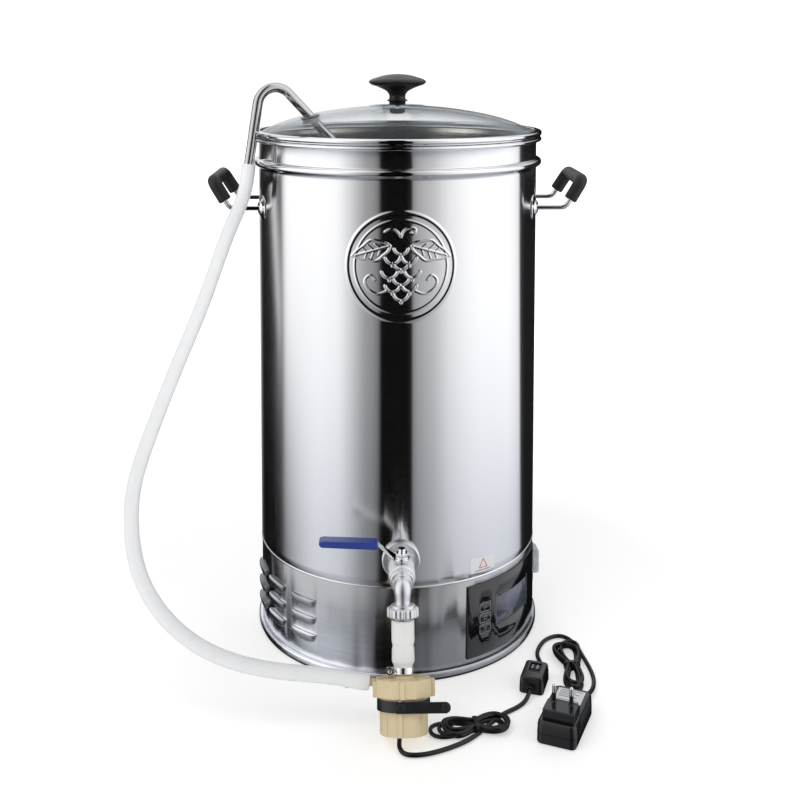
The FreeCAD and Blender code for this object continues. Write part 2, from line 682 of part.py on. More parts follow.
# -------------------------------------------------------------------- handles
leg_y, leg_z = DIM["leg_y"], DIM["leg_z"]
bar_x, bar_y, bar_z = 226, leg_y - 4, 571  # corners of the grip bar
handle_wire = rounded_path([
    (160, -leg_y, leg_z), (206, -leg_y, leg_z), (bar_x, -bar_y, bar_z),
    (bar_x, bar_y, bar_z), (206, leg_y, leg_z), (160, leg_y, leg_z)], [10, 9, 9, 10])
handle = cut("wire_right_cut", swept("wire_right", handle_wire, "{wire_rad}"),
             cyl("handle_drum", "{body_r}", 700.0))
grip_wire = rounded_path([
    (211.5, -leg_y + 1.1, 547.57), (bar_x, -bar_y, bar_z),
    (bar_x, bar_y, bar_z), (211.5, leg_y - 1.1, 547.57)], [9, 9])
grip = cut("grip_right_cut", swept("grip_outer", grip_wire, "{grip_rad}"),
           swept("grip_bore", handle_wire, "{wire_rad} + 0.02"))
node(handle, "handle_right")
node(mirror_x("wire_left", handle), "handle_left")
node(grip, "grip_right")
node(mirror_x("grip_left_m", grip), "grip_left")

# A cone where each leg meets the wall, pointing straight out of the wall.
rosettes = []
leg_x = math.sqrt(DIM["body_r"] ** 2 - leg_y ** 2)
for side_x in (1, -1):
    for side_y in (1, -1):
        out_x, out_y = side_x * leg_x / DIM["body_r"], side_y * leg_y / DIM["body_r"]
        tag = ("r" if side_x > 0 else "l") + ("b" if side_y > 0 else "f")
        rosette = cone("rosette_cone_" + tag, 15.5, 7.0, 5.0,
                       along((out_x * 173.6, out_y * 173.6, leg_z), (out_x, out_y, 0)))
        leg = cyl("rosette_leg_" + tag, "{wire_rad} + 0.02", 80.0,
                  along((side_x * 140.0, side_y * leg_y, leg_z), (side_x, 0, 0)))
        drum = cyl("rosette_drum_" + tag, "{body_r}", 700.0)
        rosettes.append(cut("rosette_" + tag, rosette, drum, leg))
node(group("rosettes", rosettes), "handle_rosettes")

# ---------------------------------------------------------------- outlet valve
tap_z, ball_y = DIM["tap_z"], DIM["ball_y"]
nipple_r, tap_bore = 10.5, 7.5
nipple_fit = nipple_r + 0.02

node(cut("washer_cut", cyl("washer_blank", 22.0, 8.0, on_tap(-172.5)),
         cyl("washer_drum", "{body_r}", 300.0),
         cyl("washer_hole", nipple_fit, 20.0, on_tap(-168.0))), "outlet_washer")
nipple = fuse("nipple_blank", [cyl("nipple_tube", nipple_r, 34.5, on_tap(-162.0)),
                               prism("nipple_hex", regular(6, 15.0), 6.0, on_tap(-180.5))])
node(cut("nipple", nipple, cyl("nipple_bore", tap_bore, 60.0, on_tap(-150.0))),
     "bulkhead_fitting")
node(cut("inner_nut", prism("inlet_nut_blank", regular(6, 14.5), 6.0, on_tap(-166.8)),
         cyl("inlet_nut_hole", nipple_fit, 20.0, on_tap(-160.0))), "outlet_inner_nut")

valve = fuse("valve_blank", [
    prism("valve_hex", regular(6, 12.6), 9.0, on_tap(-186.6)),
    cyl("valve_neck", 13.0, 46.0, on_tap(-188.0)),
    cyl("valve_barrel", 15.0, 30.0, on_tap(-196.0)),
    cyl("valve_boss", 8.0, 15.6, at(0, ball_y, tap_z)),
    cyl("valve_end", 13.6, 8.0, on_tap(-226.0))])
node(cut("valve_shell", valve,
         cyl("valve_bore", tap_bore, 80.0, on_tap(-180.0)),
         cyl("valve_socket", nipple_fit, 11.0, on_tap(-185.6)),
         cyl("valve_socket_out", 9.02, 12.0, on_tap(-226.0)),
         ball("valve_cavity", "{ball_rad} + 0.05", at(0, ball_y, tap_z)),
         cyl("valve_stem_bore", "{stem_rad} + 0.05", 40.0, at(0, ball_y, tap_z + 5))),
     "valve_body")

# The valve is closed: the ball's bore lies across, along X.
stem_z = tap_z + 9.5
node(cut("valve_ball_cut", ball("ball_blank", "{ball_rad}", at(0, ball_y, tap_z)),
         cyl("ball_bore", tap_bore, 60.0, Placement(Vector(-30, ball_y, tap_z), TO_X)),
         cyl("ball_slot", "{stem_rad} + 0.02", 10.0, at(0, ball_y, stem_z))), "valve_ball")
node(cyl("stem", "{stem_rad}", 19.5, at(0, ball_y, stem_z)), "valve_stem")

# Lever: round eye, rising arm, flat blade to the left; the sleeve covers the blade.
# Side outlines are (x, height).
lever_z = tap_z + 15.7
lever_plane = Placement(Vector(0, ball_y, 0), TO_NEG_Y)
eye = cyl("lever_eye", 9.5, 2.4, at(0, ball_y, lever_z))
arm = prism("lever_arm", [
    (-4.0, lever_z), (-8.0, lever_z), (-26.0, lever_z + 17.0), (-88.0, lever_z + 20.0),
    (-88.0, lever_z + 22.2), (-27.0, lever_z + 19.4), (-9.2, lever_z + 2.4),
    (-4.0, lever_z + 2.4)], 12.0, lever_plane, sym=True)
node(cut("lever", fuse("lever_blank", [eye, arm]),
         cyl("lever_hole", "{stem_rad} + 0.02", 30.0, at(0, ball_y, lever_z - 10))),
     "valve_lever")
sleeve = prism("sleeve_blank", [
    (-26.5, lever_z + 15.0), (-30.0, lever_z + 14.6), (-90.0, lever_z + 17.6),
    (-92.5, lever_z + 20.5), (-92.0, lever_z + 24.0), (-88.0, lever_z + 25.0),
    (-30.0, lever_z + 22.4), (-26.5, lever_z + 21.6)], 16.5, lever_plane, sym=True)
node(cut("sleeve", sleeve, arm), "lever_sleeve")
node(cut("lever_nut_cut",
         prism("lever_nut_blank", regular(6, 6.5), 6.2, at(0, ball_y, lever_z + 2.4)),
         cyl("lever_nut_hole", "{stem_rad} + 0.02", 30.0, at(0, ball_y, lever_z))), "lever_nut")

# --------------------------------------------------------------- outlet elbow
# The leaning outlet leg; local +Z points back up the leg.
elbow_frame = Placement(Vector(0, DIM["elbow_y"], tap_z),
                        Rotation(Vector(1, 0, 0), -DIM["elbow_tilt"]))
elbow_bore = 5.6


def on_leg(down, turn=0.0):
    """This far down the leg, turned about it by degrees."""
    return elbow_frame * at(0, 0, -down, turn)


elbow = fuse("elbow_blank", [
    cone("elbow_collar", 12.6, 9.2, 9.0, on_tap(-234.0)),
    cyl("elbow_in", 9.0, 19.5, on_tap(-226.5)),
    ball("elbow_corner", 9.2, at(0, DIM["elbow_y"], tap_z)),
    cyl("elbow_leg", "{leg_rad}", 25.0, on_leg(25.0))])
node(cut("elbow", elbow, cyl("elbow_bore_in", elbow_bore, 20.0, on_tap(-226.0)),
         cyl("elbow_bore_out", elbow_bore, 30.0, on_leg(30.0)),
         ball("elbow_bore_corner", elbow_bore, at(0, DIM["elbow_y"], tap_z))), "outlet_elbow")

ribs = [box("union_rib%d" % k, 2.6, 5.0, 8.6, on_leg(29.4, 22.5 * k) * at(-1.3, 12.5, 0))
        for k in range(16)]
union = fuse("union_blank", [cyl("union_core", 16.4, 9.4, on_leg(29.8)),
                             cyl("union_lip", 14.6, 10.2, on_leg(30.2))] + ribs)
node(cut("union", union, cyl("union_bore", "{leg_rad} + 0.08", 30.0, on_leg(45.0)),
         cyl("union_cavity", 12.9, 10.0, on_leg(33.5))), "union_nut")

tail = fuse("tail_blank", [
    cyl("tail_flange", 12.5, 2.0, on_leg(27.2)), cyl("tail_collar", 11.0, 5.4, on_leg(32.4)),
    cyl("tail_stem", 8.0, 15.5, on_leg(41.5)), cone("tail_barb", 7.6, 8.4, 5.0, on_leg(41.5))])
node(cut("tail", tail, cyl("tail_bore", 5.2, 60.0, on_leg(60.0))), "hose_tail")

# ------------------------------------------------------------------------ pump
# Local +Z runs up the motor's axis, from the foot to the head and its inlet.
pump_frame = Placement(Vector(0, DIM["pump_y"], DIM["pump_z"]),
                       Rotation(Vector(1, 0, 0), -DIM["pump_tilt"]))
on_pump = placer(pump_frame)
motor_len = DIM["motor_len"]
head_top = motor_len + DIM["head_len"]
outlet_y, outlet_z = 13.0, motor_len + 12.0
pump_bearing = 2.06  # bore radius for the rotor's shaft


def on_outlet(x):
    """On the side outlet's axis, pointing along -X."""
    return on_pump(x, outlet_y, outlet_z, TO_NEG_X)


housing = fuse("housing_blank", [
    cone("housing_can", "{motor_rad} - 1", "{motor_rad}", "{motor_len}", on_pump(0, 0, 0)),
    box("housing_rib", 4.5, 5.0, "{motor_len} - 1", on_pump(-6.5, -27.6, 1.0)),
    box("housing_rib_b", 6.0, 5.0, "{motor_len} - 1", on_pump(-3.0, 22.2, 1.0))])
housing_open = cut("housing_open", housing,
                   cyl("housing_cavity", 22.5, "{motor_len}", on_pump(0, 0, 3.0)),
                   cyl("housing_cable_hole", 3.4, 12.0, on_pump(-5.0, -17.0, -4.0)))
pivot = cyl("housing_pivot", 5.0, 6.0, on_pump(0, 0, 2.0))
node(cut("housing", fuse("housing_solid", [housing_open, pivot]),
         cyl("housing_pivot_hole", pump_bearing, 20.0, on_pump(0, 0, 4.0))), "pump_housing")

head = fuse("head_blank", [
    prism("head_octagon", regular(8, 29.0), "{head_len}", on_pump(0, 0, motor_len)),
    box("head_lug_r", 5.0, 14.0, "{head_len} - 1", on_pump(28.5, -7, motor_len)),
    box("head_lug_l", 5.0, 12.0, "{head_len} - 2", on_pump(-33.0, -12, motor_len)),
    box("head_rib_f", 5.0, 4.0, "{head_len} - 0.6", on_pump(-4.5, -31.0, motor_len)),
    box("head_rib_b", 5.0, 4.0, "{head_len} - 0.6", on_pump(-2.5, 27.5, motor_len)),
    cone("head_inlet_foot", 12.0, 8.0, 3.0, on_pump(0, 0, head_top)),
    cyl("head_inlet", 6.95, 16.0, on_pump(0, 0, head_top)),
    cyl("head_outlet", 4.0, 30.0, on_outlet(-10.0)),
    cyl("head_outlet_barb", 5.5, 19.5, on_outlet(-39.0))])
node(cut("head", head,
         cyl("head_cavity", 21.0, 13.0, on_pump(0, 0, motor_len + 1.5)),
         cyl("head_inlet_bore", 4.6, 40.0, on_pump(0, 0, motor_len + 10)),
         cyl("head_outlet_bore", 2.6, 70.0, on_outlet(-4.0)),
         cyl("head_shaft_bore", pump_bearing, 6.0, on_pump(0, 0, motor_len - 2))), "pump_head")

vanes = [box("vane%d" % k, 1.6, 12.0, 6.5,
             on_pump(0, 0, motor_len + 4.5, Rotation(Vector(0, 0, 1), 60 * k))
             * at(-0.8, 6.5, 0)) for k in range(6)]
node(fuse("rotor", [
    cyl("rotor_disc", 19.0, 1.6, on_pump(0, 0, motor_len + 3.0)),
    cyl("rotor_hub", 6.0, 4.0, on_pump(0, 0, motor_len + 4.5)),
    cyl("rotor_shaft", 2.0, motor_len, on_pump(0, 0, 4.6)),
    cyl("rotor_magnet", 14.0, 20.0, on_pump(0, 0, 10.0))] + vanes), "pump_impeller")

# Strap round the housing, with a flat ear in front reaching to the right.
strap_w, strap_t, strap_z = 11.0, 2.4, 24.0
strap_ring = cut("strap_ring",
                 cyl("strap_out", "{motor_rad} + 2.4", strap_w, on_pump(0, 0, strap_z)),
                 cyl("strap_in", "{motor_rad} + 0.02", 15.0, on_pump(0, 0, 22.0)))
strap = fuse("strap_blank", [
    strap_ring,
    box("strap_flat", 46.0, strap_t, strap_w, on_pump(-3.0, -30.6, strap_z)),
    cyl("strap_end", strap_w / 2, strap_t, on_pump(43.0, -28.2, 29.5, TO_NEG_Y)),
    box("strap_pad", 12.0, 3.2, strap_w, on_pump(-9.0, -30.6, strap_z))])
node(cut("strap", strap, cyl("strap_hole", 2.2, 6.0, on_pump(43.0, -26.2, 29.5, TO_NEG_Y)),
         box("strap_rib_gap", 4.9, 7.0, 20.0, on_pump(-6.7, -28.0, 20.0)),
         box("strap_rib_gap_b", 6.4, 7.0, 20.0, on_pump(-3.2, 20.6, 20.0))), "pump_strap")

# Short hose from the hose tail down to the pump's inlet, narrowed to a neck there.
tail_hose_r, tail_hose_bore, hose_neck_r = 12.4, 8.62, 9.9
hose_top = point_in(elbow_frame, 0, 0, -32.8)
hose_foot = point_in(pump_frame, 0, 0, head_top + 12.0)
hose_path = spline_path(
    [hose_top, (hose_top + hose_foot) * 0.5 + Vector(0, 0.35, 0), hose_foot],
    direction_in(elbow_frame, 0, 0, -30), direction_in(pump_frame, 0, 0, -30))
pump_hose = fuse("pump_hose_blank", [
    swept("pump_hose_outer", hose_path, tail_hose_r),
    cyl("pump_hose_neck", hose_neck_r, 11.0, on_pump(0, 0, head_top + 3.2))])
node(cut("pump_hose_cut", pump_hose,
         swept("pump_hose_inner", hose_path, tail_hose_bore),
         cyl("pump_hose_neck_bore", 7.0, 30.0, on_pump(0, 0, head_top - 4)),
         ball("pump_hose_relief", tail_hose_bore, on_pump(0, 0, head_top + 15.0))), "pump_hose")

clamp_ring = cut("clamp_ring", cyl("clamp_out", 11.2, 7.0, on_pump(0, 0, head_top + 3.8)),
                 cyl("clamp_in", hose_neck_r + 0.02, 12.0, on_pump(0, 0, head_top + 2)))
clamp_x, clamp_z = -14.6, head_top + 7.3  # screw axis
node(fuse("clamp", [
    clamp_ring, box("clamp_box", 7.0, 9.0, 7.4, on_pump(-17.6, -5.0, head_top + 3.6)),
    cyl("clamp_screw", 2.6, 15.0, on_pump(clamp_x, 6.5, clamp_z, TO_NEG_Y)),
    cyl("clamp_head", 4.0, 3.0, on_pump(clamp_x, -8.4, clamp_z, TO_NEG_Y))]), "hose_clamp")

# ------------------------------------------------------------------------- lid
# Upper face of the glass: radius, height.
glass_upper = [(4.2, 661.9), (36.0, 660.5), (54.0, 658.9), (79.0, 655.9), (104.6, 651.6),
               (130.0, 645.7), (155.0, 637.1), (168.0, 631.4), (176.0, 628.2)]
glass_lower = [(radius, z - DIM["glass_t"]) for radius, z in reversed(glass_upper)]
lid_glass = turned_smooth("lid_glass", [
    ("spline", glass_upper), ("line", [glass_upper[-1], glass_lower[0]]),
    ("spline", glass_lower), ("line", [glass_lower[-1], glass_upper[0]])])

# The gooseneck lies in a vertical plane through the axis.
goose_angle = math.radians(DIM["goose_az"])
goose_out = Vector(-math.cos(goose_angle), -math.sin(goose_angle), 0)


def in_goose_plane(radius, z):
    return goose_out * radius + Vector(0, 0, z)


grommet_at = in_goose_plane(116.2, 647.1)
grommet_axis = in_goose_plane(0.226, 0.974).normalize()  # square to the glass
node(cut("lid_glass_cut", lid_glass,
         cyl("lid_hole", "{grommet_hole}", 40.0,
             along(grommet_at - grommet_axis * 20, grommet_axis))), "glass_lid")
node(turned("band", [
    (170.0, "{rim_z}"), ("{band_rad} - 3.6", "{rim_z}"), ("{band_rad} - 1.4", "{rim_z} + 1.8"),
    ("{band_rad}", "{rim_z} + 3.4"), ("{band_rad}", "{rim_z} + 6.8"),
    ("{band_rad} - 1.2", "{rim_z} + 7.6"), (177.0, "{rim_z} + 8.2"), (173.0, "{rim_z} + 8.3"),
    (173.0, "{rim_z} + 6.6"), (176.1, "{rim_z} + 5.3"), (176.1, "{rim_z} + 0.7"),
    (170.0, "{rim_z} + 0.7")]), "lid_band")
node(turned_smooth("knob", [
    ("line", [(0, 682.0), (2.6, 682.0), (2.6, 666.2), (13.5, 666.2)]),
    ("spline", [(13.5, 666.2), (9.9, 668.4), (9.9, 672.0), (13.5, 678.2), (18.5, 682.0),
                (28.6, 685.8), (34.9, 688.9), (36.4, 692.1)]),
    ("spline", [(36.4, 692.1), (28.6, 695.9), (17.0, 699.2), (0, 700.9)]),
    ("line", [(0, 700.9), (0, 682.0)])]), "lid_knob")
node(turned("knob_disc", [(3.2, 662.1), (35.0, 660.9), (35.4, 661.5), (24.0, 663.4),
                          (13.0, 666.2), (3.2, 666.2)]), "knob_washer")
node(fuse("knob_bolt", [cyl("bolt_shank", 2.55, 26.0, at(0, 0, 655.5)),
                        cyl("bolt_washer", 8.0, 1.6, at(0, 0, 656.0)),
                        cyl("bolt_head", 4.4, 3.2, at(0, 0, 652.9))]), "knob_screw")

# Gooseneck: up outside the rim, over, and down through the lid.
goose_foot = in_goose_plane(197.7, 577.5)
goose_peak = in_goose_plane(175.8, 711.3)
goose_tip = in_goose_plane(78.5, 610.2)
goose_wire = rounded_path([goose_foot, goose_peak, goose_tip], [22.3])
node(cut("goose_cut", swept("goose_outer", goose_wire, "{goose_rad}"),
         swept("goose_inner", goose_wire, "{goose_bore}")), "recirculation_pipe")

grommet = turned("grommet_blank", [
    (0, -4.6), (16.0, -4.6), (16.0, -2.5), ("{grommet_hole} - 0.02", -2.5),
    ("{grommet_hole} - 0.02", 2.6), (16.4, 2.6), (15.0, 5.2), (0, 5.2)])
grommet.Placement = along(grommet_at, grommet_axis)
goose_down = (goose_tip - goose_peak).normalize()
node(cut("grommet", grommet,
         cyl("grommet_bore", "{goose_rad} + 0.02", 120.0,
             along(goose_tip + goose_down * 5, goose_down * -1))), "lid_grommet")

# ------------------------------------------------------------------- malt pipe
malt_shell = turned("malt_shell", [
    ("{malt_r}", "{malt_z0}"), ("{malt_r}", "{malt_z1} - 4"), ("{malt_r} + 3.4", "{malt_z1}"),
    ("{malt_r} + 2.4", "{malt_z1} + 1"), ("{malt_r} - {malt_t}", "{malt_z1} - 3"),
    ("{malt_r} - {malt_t}", "{malt_z0} + 1.2"), (129.0, "{malt_z0} + 1.2"),
    (129.0, "{malt_z0}")])
malt_legs = [bind_z(cyl("malt_leg%d" % k, 5.0, "{malt_z0} - {floor_z} - 1",
                        at(*polar(133.0, 120 * k + 90), 0)), "{floor_z} + 1.2")
             for k in range(3)]
lift_hole = cyl("malt_lift_hole", 5.0, 320.0,
                Placement(Vector(-160, 0, DIM["malt_z1"] - 18), TO_X))
node(cut("malt_cut", fuse("malt_blank", [malt_shell] + malt_legs), lift_hole), "malt_pipe")


def sieve(name, z):
    """A perforated disc with a centre hole for the overflow pipe."""
    body = doc.addObject("PartDesign::Body", name)
    outline = sketch_on(body, "XY_Plane", name + "_outline")
    for i, radius in enumerate(("{sieve_r}", "{overflow_r} + 0.08")):
        circle = Part.Circle(Vector(0, 0, 0), Vector(0, 0, 1), value_of(radius))
        outline.addGeometry(circle, False)
        outline.addConstraint(Sketcher.Constraint("Coincident", i, 3, -1, 1))
        constrain(outline, ("Radius", i), radius)
    pad = body.newObject("PartDesign::Pad", name + "_pad")
    pad.Profile = outline
    put(pad, Length="{sieve_t}")
    doc.recompute()
    perforate(body, name, (32.0, 50.0, 68.0, 86.0, 104.0, 122.0), 3.0, 20, 20.0)
    body.Placement = at(0, 0, z)
    return body


top_sieve_z = 520.0
node(sieve("lower_sieve", DIM["malt_z0"] + 1.2), "bottom_sieve")
upper_sieve = sieve("upper_sieve", top_sieve_z)
hub = cut("upper_sieve_hub", cyl("upper_sieve_hub_o", 16.0, 12.0, at(0, 0, top_sieve_z)),
          cyl("upper_sieve_hub_i", "{overflow_r} + 0.08", 20.0, at(0, 0, top_sieve_z - 4)))
node(fuse("upper_sieve_hubbed", [upper_sieve, hub]), "top_sieve")
node(turned("overflow_tube", [
    ("{overflow_r} - 1.2", 149.0), (18.0, 149.0), (18.0, "{malt_z0} + 1.2"),
    ("{overflow_r}", "{malt_z0} + 1.2"), ("{overflow_r}", 585.0),
    ("{overflow_r} - 1.2", 585.0)]), "overflow_pipe")

# ---------------------------------------------------------- recirculation hose
# From the pump's side outlet round the left and up onto the gooseneck's foot.
goose_up = (goose_peak - goose_foot).normalize()
hose_end = goose_foot + goose_up * 17.5
tube_path = spline_path([
    point_in(pump_frame, -36.2, outlet_y, outlet_z),
    (-72.0, -262.6, 55.8), (-111.2, -263.5, 61.0), (-165.1, -262.2, 69.1),
    (-219.9, -252.9, 86.5), (-264.0, -236.8, 117.0), (-289.6, -221.2, 152.9),
    (-301.0, -205.0, 191.7), (-302.4, -186.0, 234.8), (-287.5, -164.0, 290.0),
    (-257.2, -137.0, 369.8), (-229.9, -117.0, 438.0), (-200.0, -92.0, 522.0),
    hose_end - goose_up * 26 + Vector(0, -1.5, 0), hose_end], (-40, 0, 3), goose_up * 40)
node(cut("hose_cut", swept("hose_outer", tube_path, "{hose_rad}"),
         swept("hose_inner", tube_path, "{hose_bore}"),
         cyl("hose_clear_barb", 5.6, 24.0, on_outlet(-37.0)),
         cyl("hose_clear_pipe", 6.03, 28.0, along(goose_foot - goose_up * 4, goose_up))),
     "recirculation_hose")

# ------------------------------------------------------------------ pump cable
# On the floor from the pump to an inline switch and on to the adapter. In the
# frames of both boxes the cable runs along Y.
inline_frame = at(153.6, -187.0, 0, -19.0)
adapter_frame = at(175.0, -271.0, 0, -24.0)
on_inline = placer(inline_frame)
on_adapter = placer(adapter_frame)
inline_entry_z, adapter_entry_x, adapter_entry_z = 8.0, 10.0, 9.0
lie_z = DIM["cable_rad"] + 0.3  # axis height of cable lying on the floor
coil_z = 5.3

run_from_pump = [
    point_in(pump_frame, -5.0, -17.0, 0.6), (-4.8, -310.0, 4.4), (-1.0, -317.0, lie_z),
    (10.0, -321.0, lie_z), (26.0, -318.5, lie_z), (48.0, -309.0, lie_z),
    (68.0, -296.0, lie_z), (92.0, -270.0, lie_z), (112.0, -248.0, lie_z),
    point_in(inline_frame, -1.0, -36.0, 5.0), point_in(inline_frame, 0, -26.0, inline_entry_z),
    point_in(inline_frame, 0, -17.5, inline_entry_z)]
run_to_adapter = [
    point_in(inline_frame, 0, 17.5, inline_entry_z),
    point_in(inline_frame, 0, 26.0, inline_entry_z), point_in(inline_frame, 0.5, 38.0, 5.0),
    (166.0, -128.0, lie_z), (173.0, -103.0, lie_z), (186.0, -86.0, lie_z),
    (201.0, -80.9, lie_z), (214.0, -96.0, lie_z), (219.5, -122.0, lie_z),
    (223.0, -150.0, lie_z), (223.5, -182.0, lie_z), (216.0, -208.0, 5.0),
    point_in(adapter_frame, adapter_entry_x, 47.0, adapter_entry_z),
    point_in(adapter_frame, adapter_entry_x, 36.5, adapter_entry_z)]
through_inline = direction_in(inline_frame, 0, 16, 0)
cable_a = swept("cable_a", spline_path(run_from_pump, direction_in(pump_frame, 0, -6, -14),
                                       through_inline), "{cable_rad}")
cable_b = swept("cable_b", spline_path(run_to_adapter, through_inline,
                                       direction_in(adapter_frame, 0, -16, 0)), "{cable_rad}")


def cable_loop(name, start, end, half, radius):
    """Spare cable tied into a long loop: a ring from start to end, 2 * half wide."""
    p, q = Vector(*start, coil_z), Vector(*end, coil_z)
    ahead = (q - p).normalize()
    side = Vector(-ahead.y, ahead.x, 0)
    edges = [
        Part.makeLine(p + side * half, q + side * half),
        Part.Arc(q + side * half, q + ahead * half, q - side * half).toShape(),
        Part.makeLine(q - side * half, p - side * half),
        Part.Arc(p - side * half, p - ahead * half, p + side * half).toShape()]
    first = edges[0].valueAt(edges[0].FirstParameter)
    section = Part.Wire([Part.Circle(first, ahead, radius).toShape()])
    return feature(name, Part.Wire(edges).makePipeShell([section], True, False))


node(fuse("cable_all", [
    cable_a, cable_b,
    cable_loop("coil_a", (52, -298), (104, -268), 11.0, 5.2),
    cable_loop("coil_b", (205, -205), (206, -120), 9.0, 5.2),
    box("tie_a", 5.0, 36.0, 11.4, at(74, -283, 0.05, 30) * at(0, -18, 0)),
    box("tie_b", 32.0, 5.0, 11.4, at(189, -158, 0.05))]), "pump_cable")

# --------------------------------------------------------------- inline switch
pivot_y, pivot_z = 4.5, 15.0
on_inline_rocker = placer(on_inline(0, pivot_y, pivot_z, Rotation(Vector(1, 0, 0), -7.0)))
node(cut("inline_rocker_cut",
         box("inline_rocker_block", 12.0, 15.0, 8.0, on_inline_rocker(-6.0, -7.5, -2.2)),
         cyl("inline_rocker_dish", 26.0, 20.0, on_inline_rocker(-10, 0, 29.6, TO_X)),
         cyl("inline_rocker_bore", 1.25, 20.0, on_inline_rocker(-10, 0, 0, TO_X))),
     "inline_rocker")
inline_soft = soften("Chamfer", "inline_soft",
                     box("inline_blank", 28.0, 41.0, 20.5, on_inline(-14, -20.5, 0.05)),
                     (2, 4, 6, 8, 10, 12), 2.2)
inline_shell = cut("inline_shell", inline_soft,
                   box("inline_well", 12.4, 17.4, 14.0, on_inline(-6.2, -4.2, 8.0)))
inline_pin = cyl("inline_pin", 1.2, 14.0, on_inline(-7, pivot_y, pivot_z, TO_X))
node(cut("inline_case_cut", fuse("inline_case_pin", [inline_shell, inline_pin]),
         cyl("inline_entry_a", "{cable_rad} + 0.15", 9.0,
             on_inline(0, -17.0, inline_entry_z, TO_NEG_Y)),
         cyl("inline_entry_b", "{cable_rad} + 0.15", 9.0,
             on_inline(0, 17.0, inline_entry_z, TO_Y))), "inline_switch_case")

# --------------------------------------------------------------------- adapter
# Case lying on the floor with its plug block and two pins pointing up.
case_top = DIM["case_top"]
adapter_box = box("adapter_blank", 43.0, 79.0, "{case_top}", on_adapter(-21.5, -39.5, 0.05))
upright = edges_where(adapter_box, lambda e: abs(e.tangentAt(e.FirstParameter).z) > 0.9)
adapter_soft = soften("Fillet", "adapter_soft", adapter_box, upright, 3.5)
plug_block = box("adapter_block", 35.0, 26.0, 11.0, on_adapter(-16.5, -33.0, case_top))
plug_step = box("adapter_step", 29.0, 5.0, 8.0, on_adapter(-13.5, -8.0, case_top))
slots = [box("adapter_vent%d" % k, 3.0, 2.2, 12.0,
             on_adapter(19.4, -14.0 + 5.0 * k, case_top - 10)) for k in range(9)]
pins, pin_sleeves, pin_bores = [], [], []
for k, side in enumerate((-1, 1)):
    spot = point_in(adapter_frame, side * DIM["pin_half"] + 1.0, -15.0, 0)
    tip = cyl("pin_tip%d" % k, "{pin_rad}", "{pin_tip} - 46.5", at(spot.x, spot.y, 46.5))
    pin_core = cyl("pin_core%d" % k, 1.45, 20.0, at(spot.x, spot.y, 28.0))
    pins.append(fuse("pin%d" % k, [tip, pin_core]))
    pin_sleeves.append(cyl("pin_sleeve%d" % k, "{pin_rad} + 0.3", 16.0,
                           at(spot.x, spot.y, 30.5)))
    pin_bores.append(cyl("pin_bore%d" % k, 1.47, 30.0, at(spot.x, spot.y, 28.0)))
adapter_entry = cyl("adapter_entry", "{cable_rad} + 0.15", 9.0,
                    on_adapter(adapter_entry_x, 36.0, adapter_entry_z, TO_Y))
adapter = fuse("adapter_blank_all", [adapter_soft, plug_block, plug_step] + pin_sleeves)
node(cut("adapter_cut", adapter, adapter_entry, *slots, *pin_bores), "adapter_case")
node(group("pins", pins), "plug_pins")

# ------------------------------------------------------------- check and export
doc.recompute()
bad = [o.Name for o in doc.Objects if "Invalid" in o.State or "Error" in o.State]
if bad:
    raise RuntimeError("failed objects: %s" % bad)
for label, obj in sorted(NODES.items()):
    shape = obj.Shape
    if shape.isNull() or not shape.isValid() or not shape.Solids:
        raise RuntimeError("bad shape: %s" % label)
for label, obj in sorted(NODES.items()):
    obj.Shape.exportStep("parts/%s.step" % label)
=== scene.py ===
import math
import bpy
import bmesh
import numpy as np
from mathutils import Matrix, Vector


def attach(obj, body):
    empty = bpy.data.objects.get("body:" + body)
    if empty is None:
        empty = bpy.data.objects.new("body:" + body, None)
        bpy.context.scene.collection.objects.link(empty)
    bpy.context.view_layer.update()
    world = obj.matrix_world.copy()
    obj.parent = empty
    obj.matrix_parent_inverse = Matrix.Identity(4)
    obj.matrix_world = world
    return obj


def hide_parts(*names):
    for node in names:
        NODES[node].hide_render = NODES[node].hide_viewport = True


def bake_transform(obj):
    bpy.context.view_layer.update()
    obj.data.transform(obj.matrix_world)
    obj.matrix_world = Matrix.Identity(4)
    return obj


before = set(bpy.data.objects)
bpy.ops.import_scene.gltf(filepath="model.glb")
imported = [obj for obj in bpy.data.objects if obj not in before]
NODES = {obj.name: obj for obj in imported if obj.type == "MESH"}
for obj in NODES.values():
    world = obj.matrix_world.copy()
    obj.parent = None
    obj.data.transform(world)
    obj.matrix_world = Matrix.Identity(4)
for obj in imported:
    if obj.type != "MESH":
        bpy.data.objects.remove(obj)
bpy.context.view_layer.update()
scene = bpy.context.scene
rad = math.radians


# ------------------------------------------------------------------ materials
def principled(name):
    m = bpy.data.materials.new(name)
    m.use_nodes = True
    nt = m.node_tree
    return m, nt, nt.nodes["Principled BSDF"]


def new(nt, kind, **vals):
    n = nt.nodes.new(kind)
    for k, v in vals.items():
        if k in n.inputs:
            n.inputs[k].default_value = v
        else:
            setattr(n, k, v)
    return n


def ramp(nt, fac, stops, interp="LINEAR"):
    r = nt.nodes.new("ShaderNodeValToRGB")
    cr = r.color_ramp
    cr.interpolation = interp
    while len(cr.elements) > 1:
        cr.elements.remove(cr.elements[-1])
    for i, (p, c) in enumerate(stops):
        e = cr.elements[0] if i == 0 else cr.elements.new(p)
        e.position = p
        c = (c, c, c) if isinstance(c, (int, float)) else c
        e.color = (c[0], c[1], c[2], 1.0)
    nt.links.new(fac, r.inputs["Fac"])
    return r


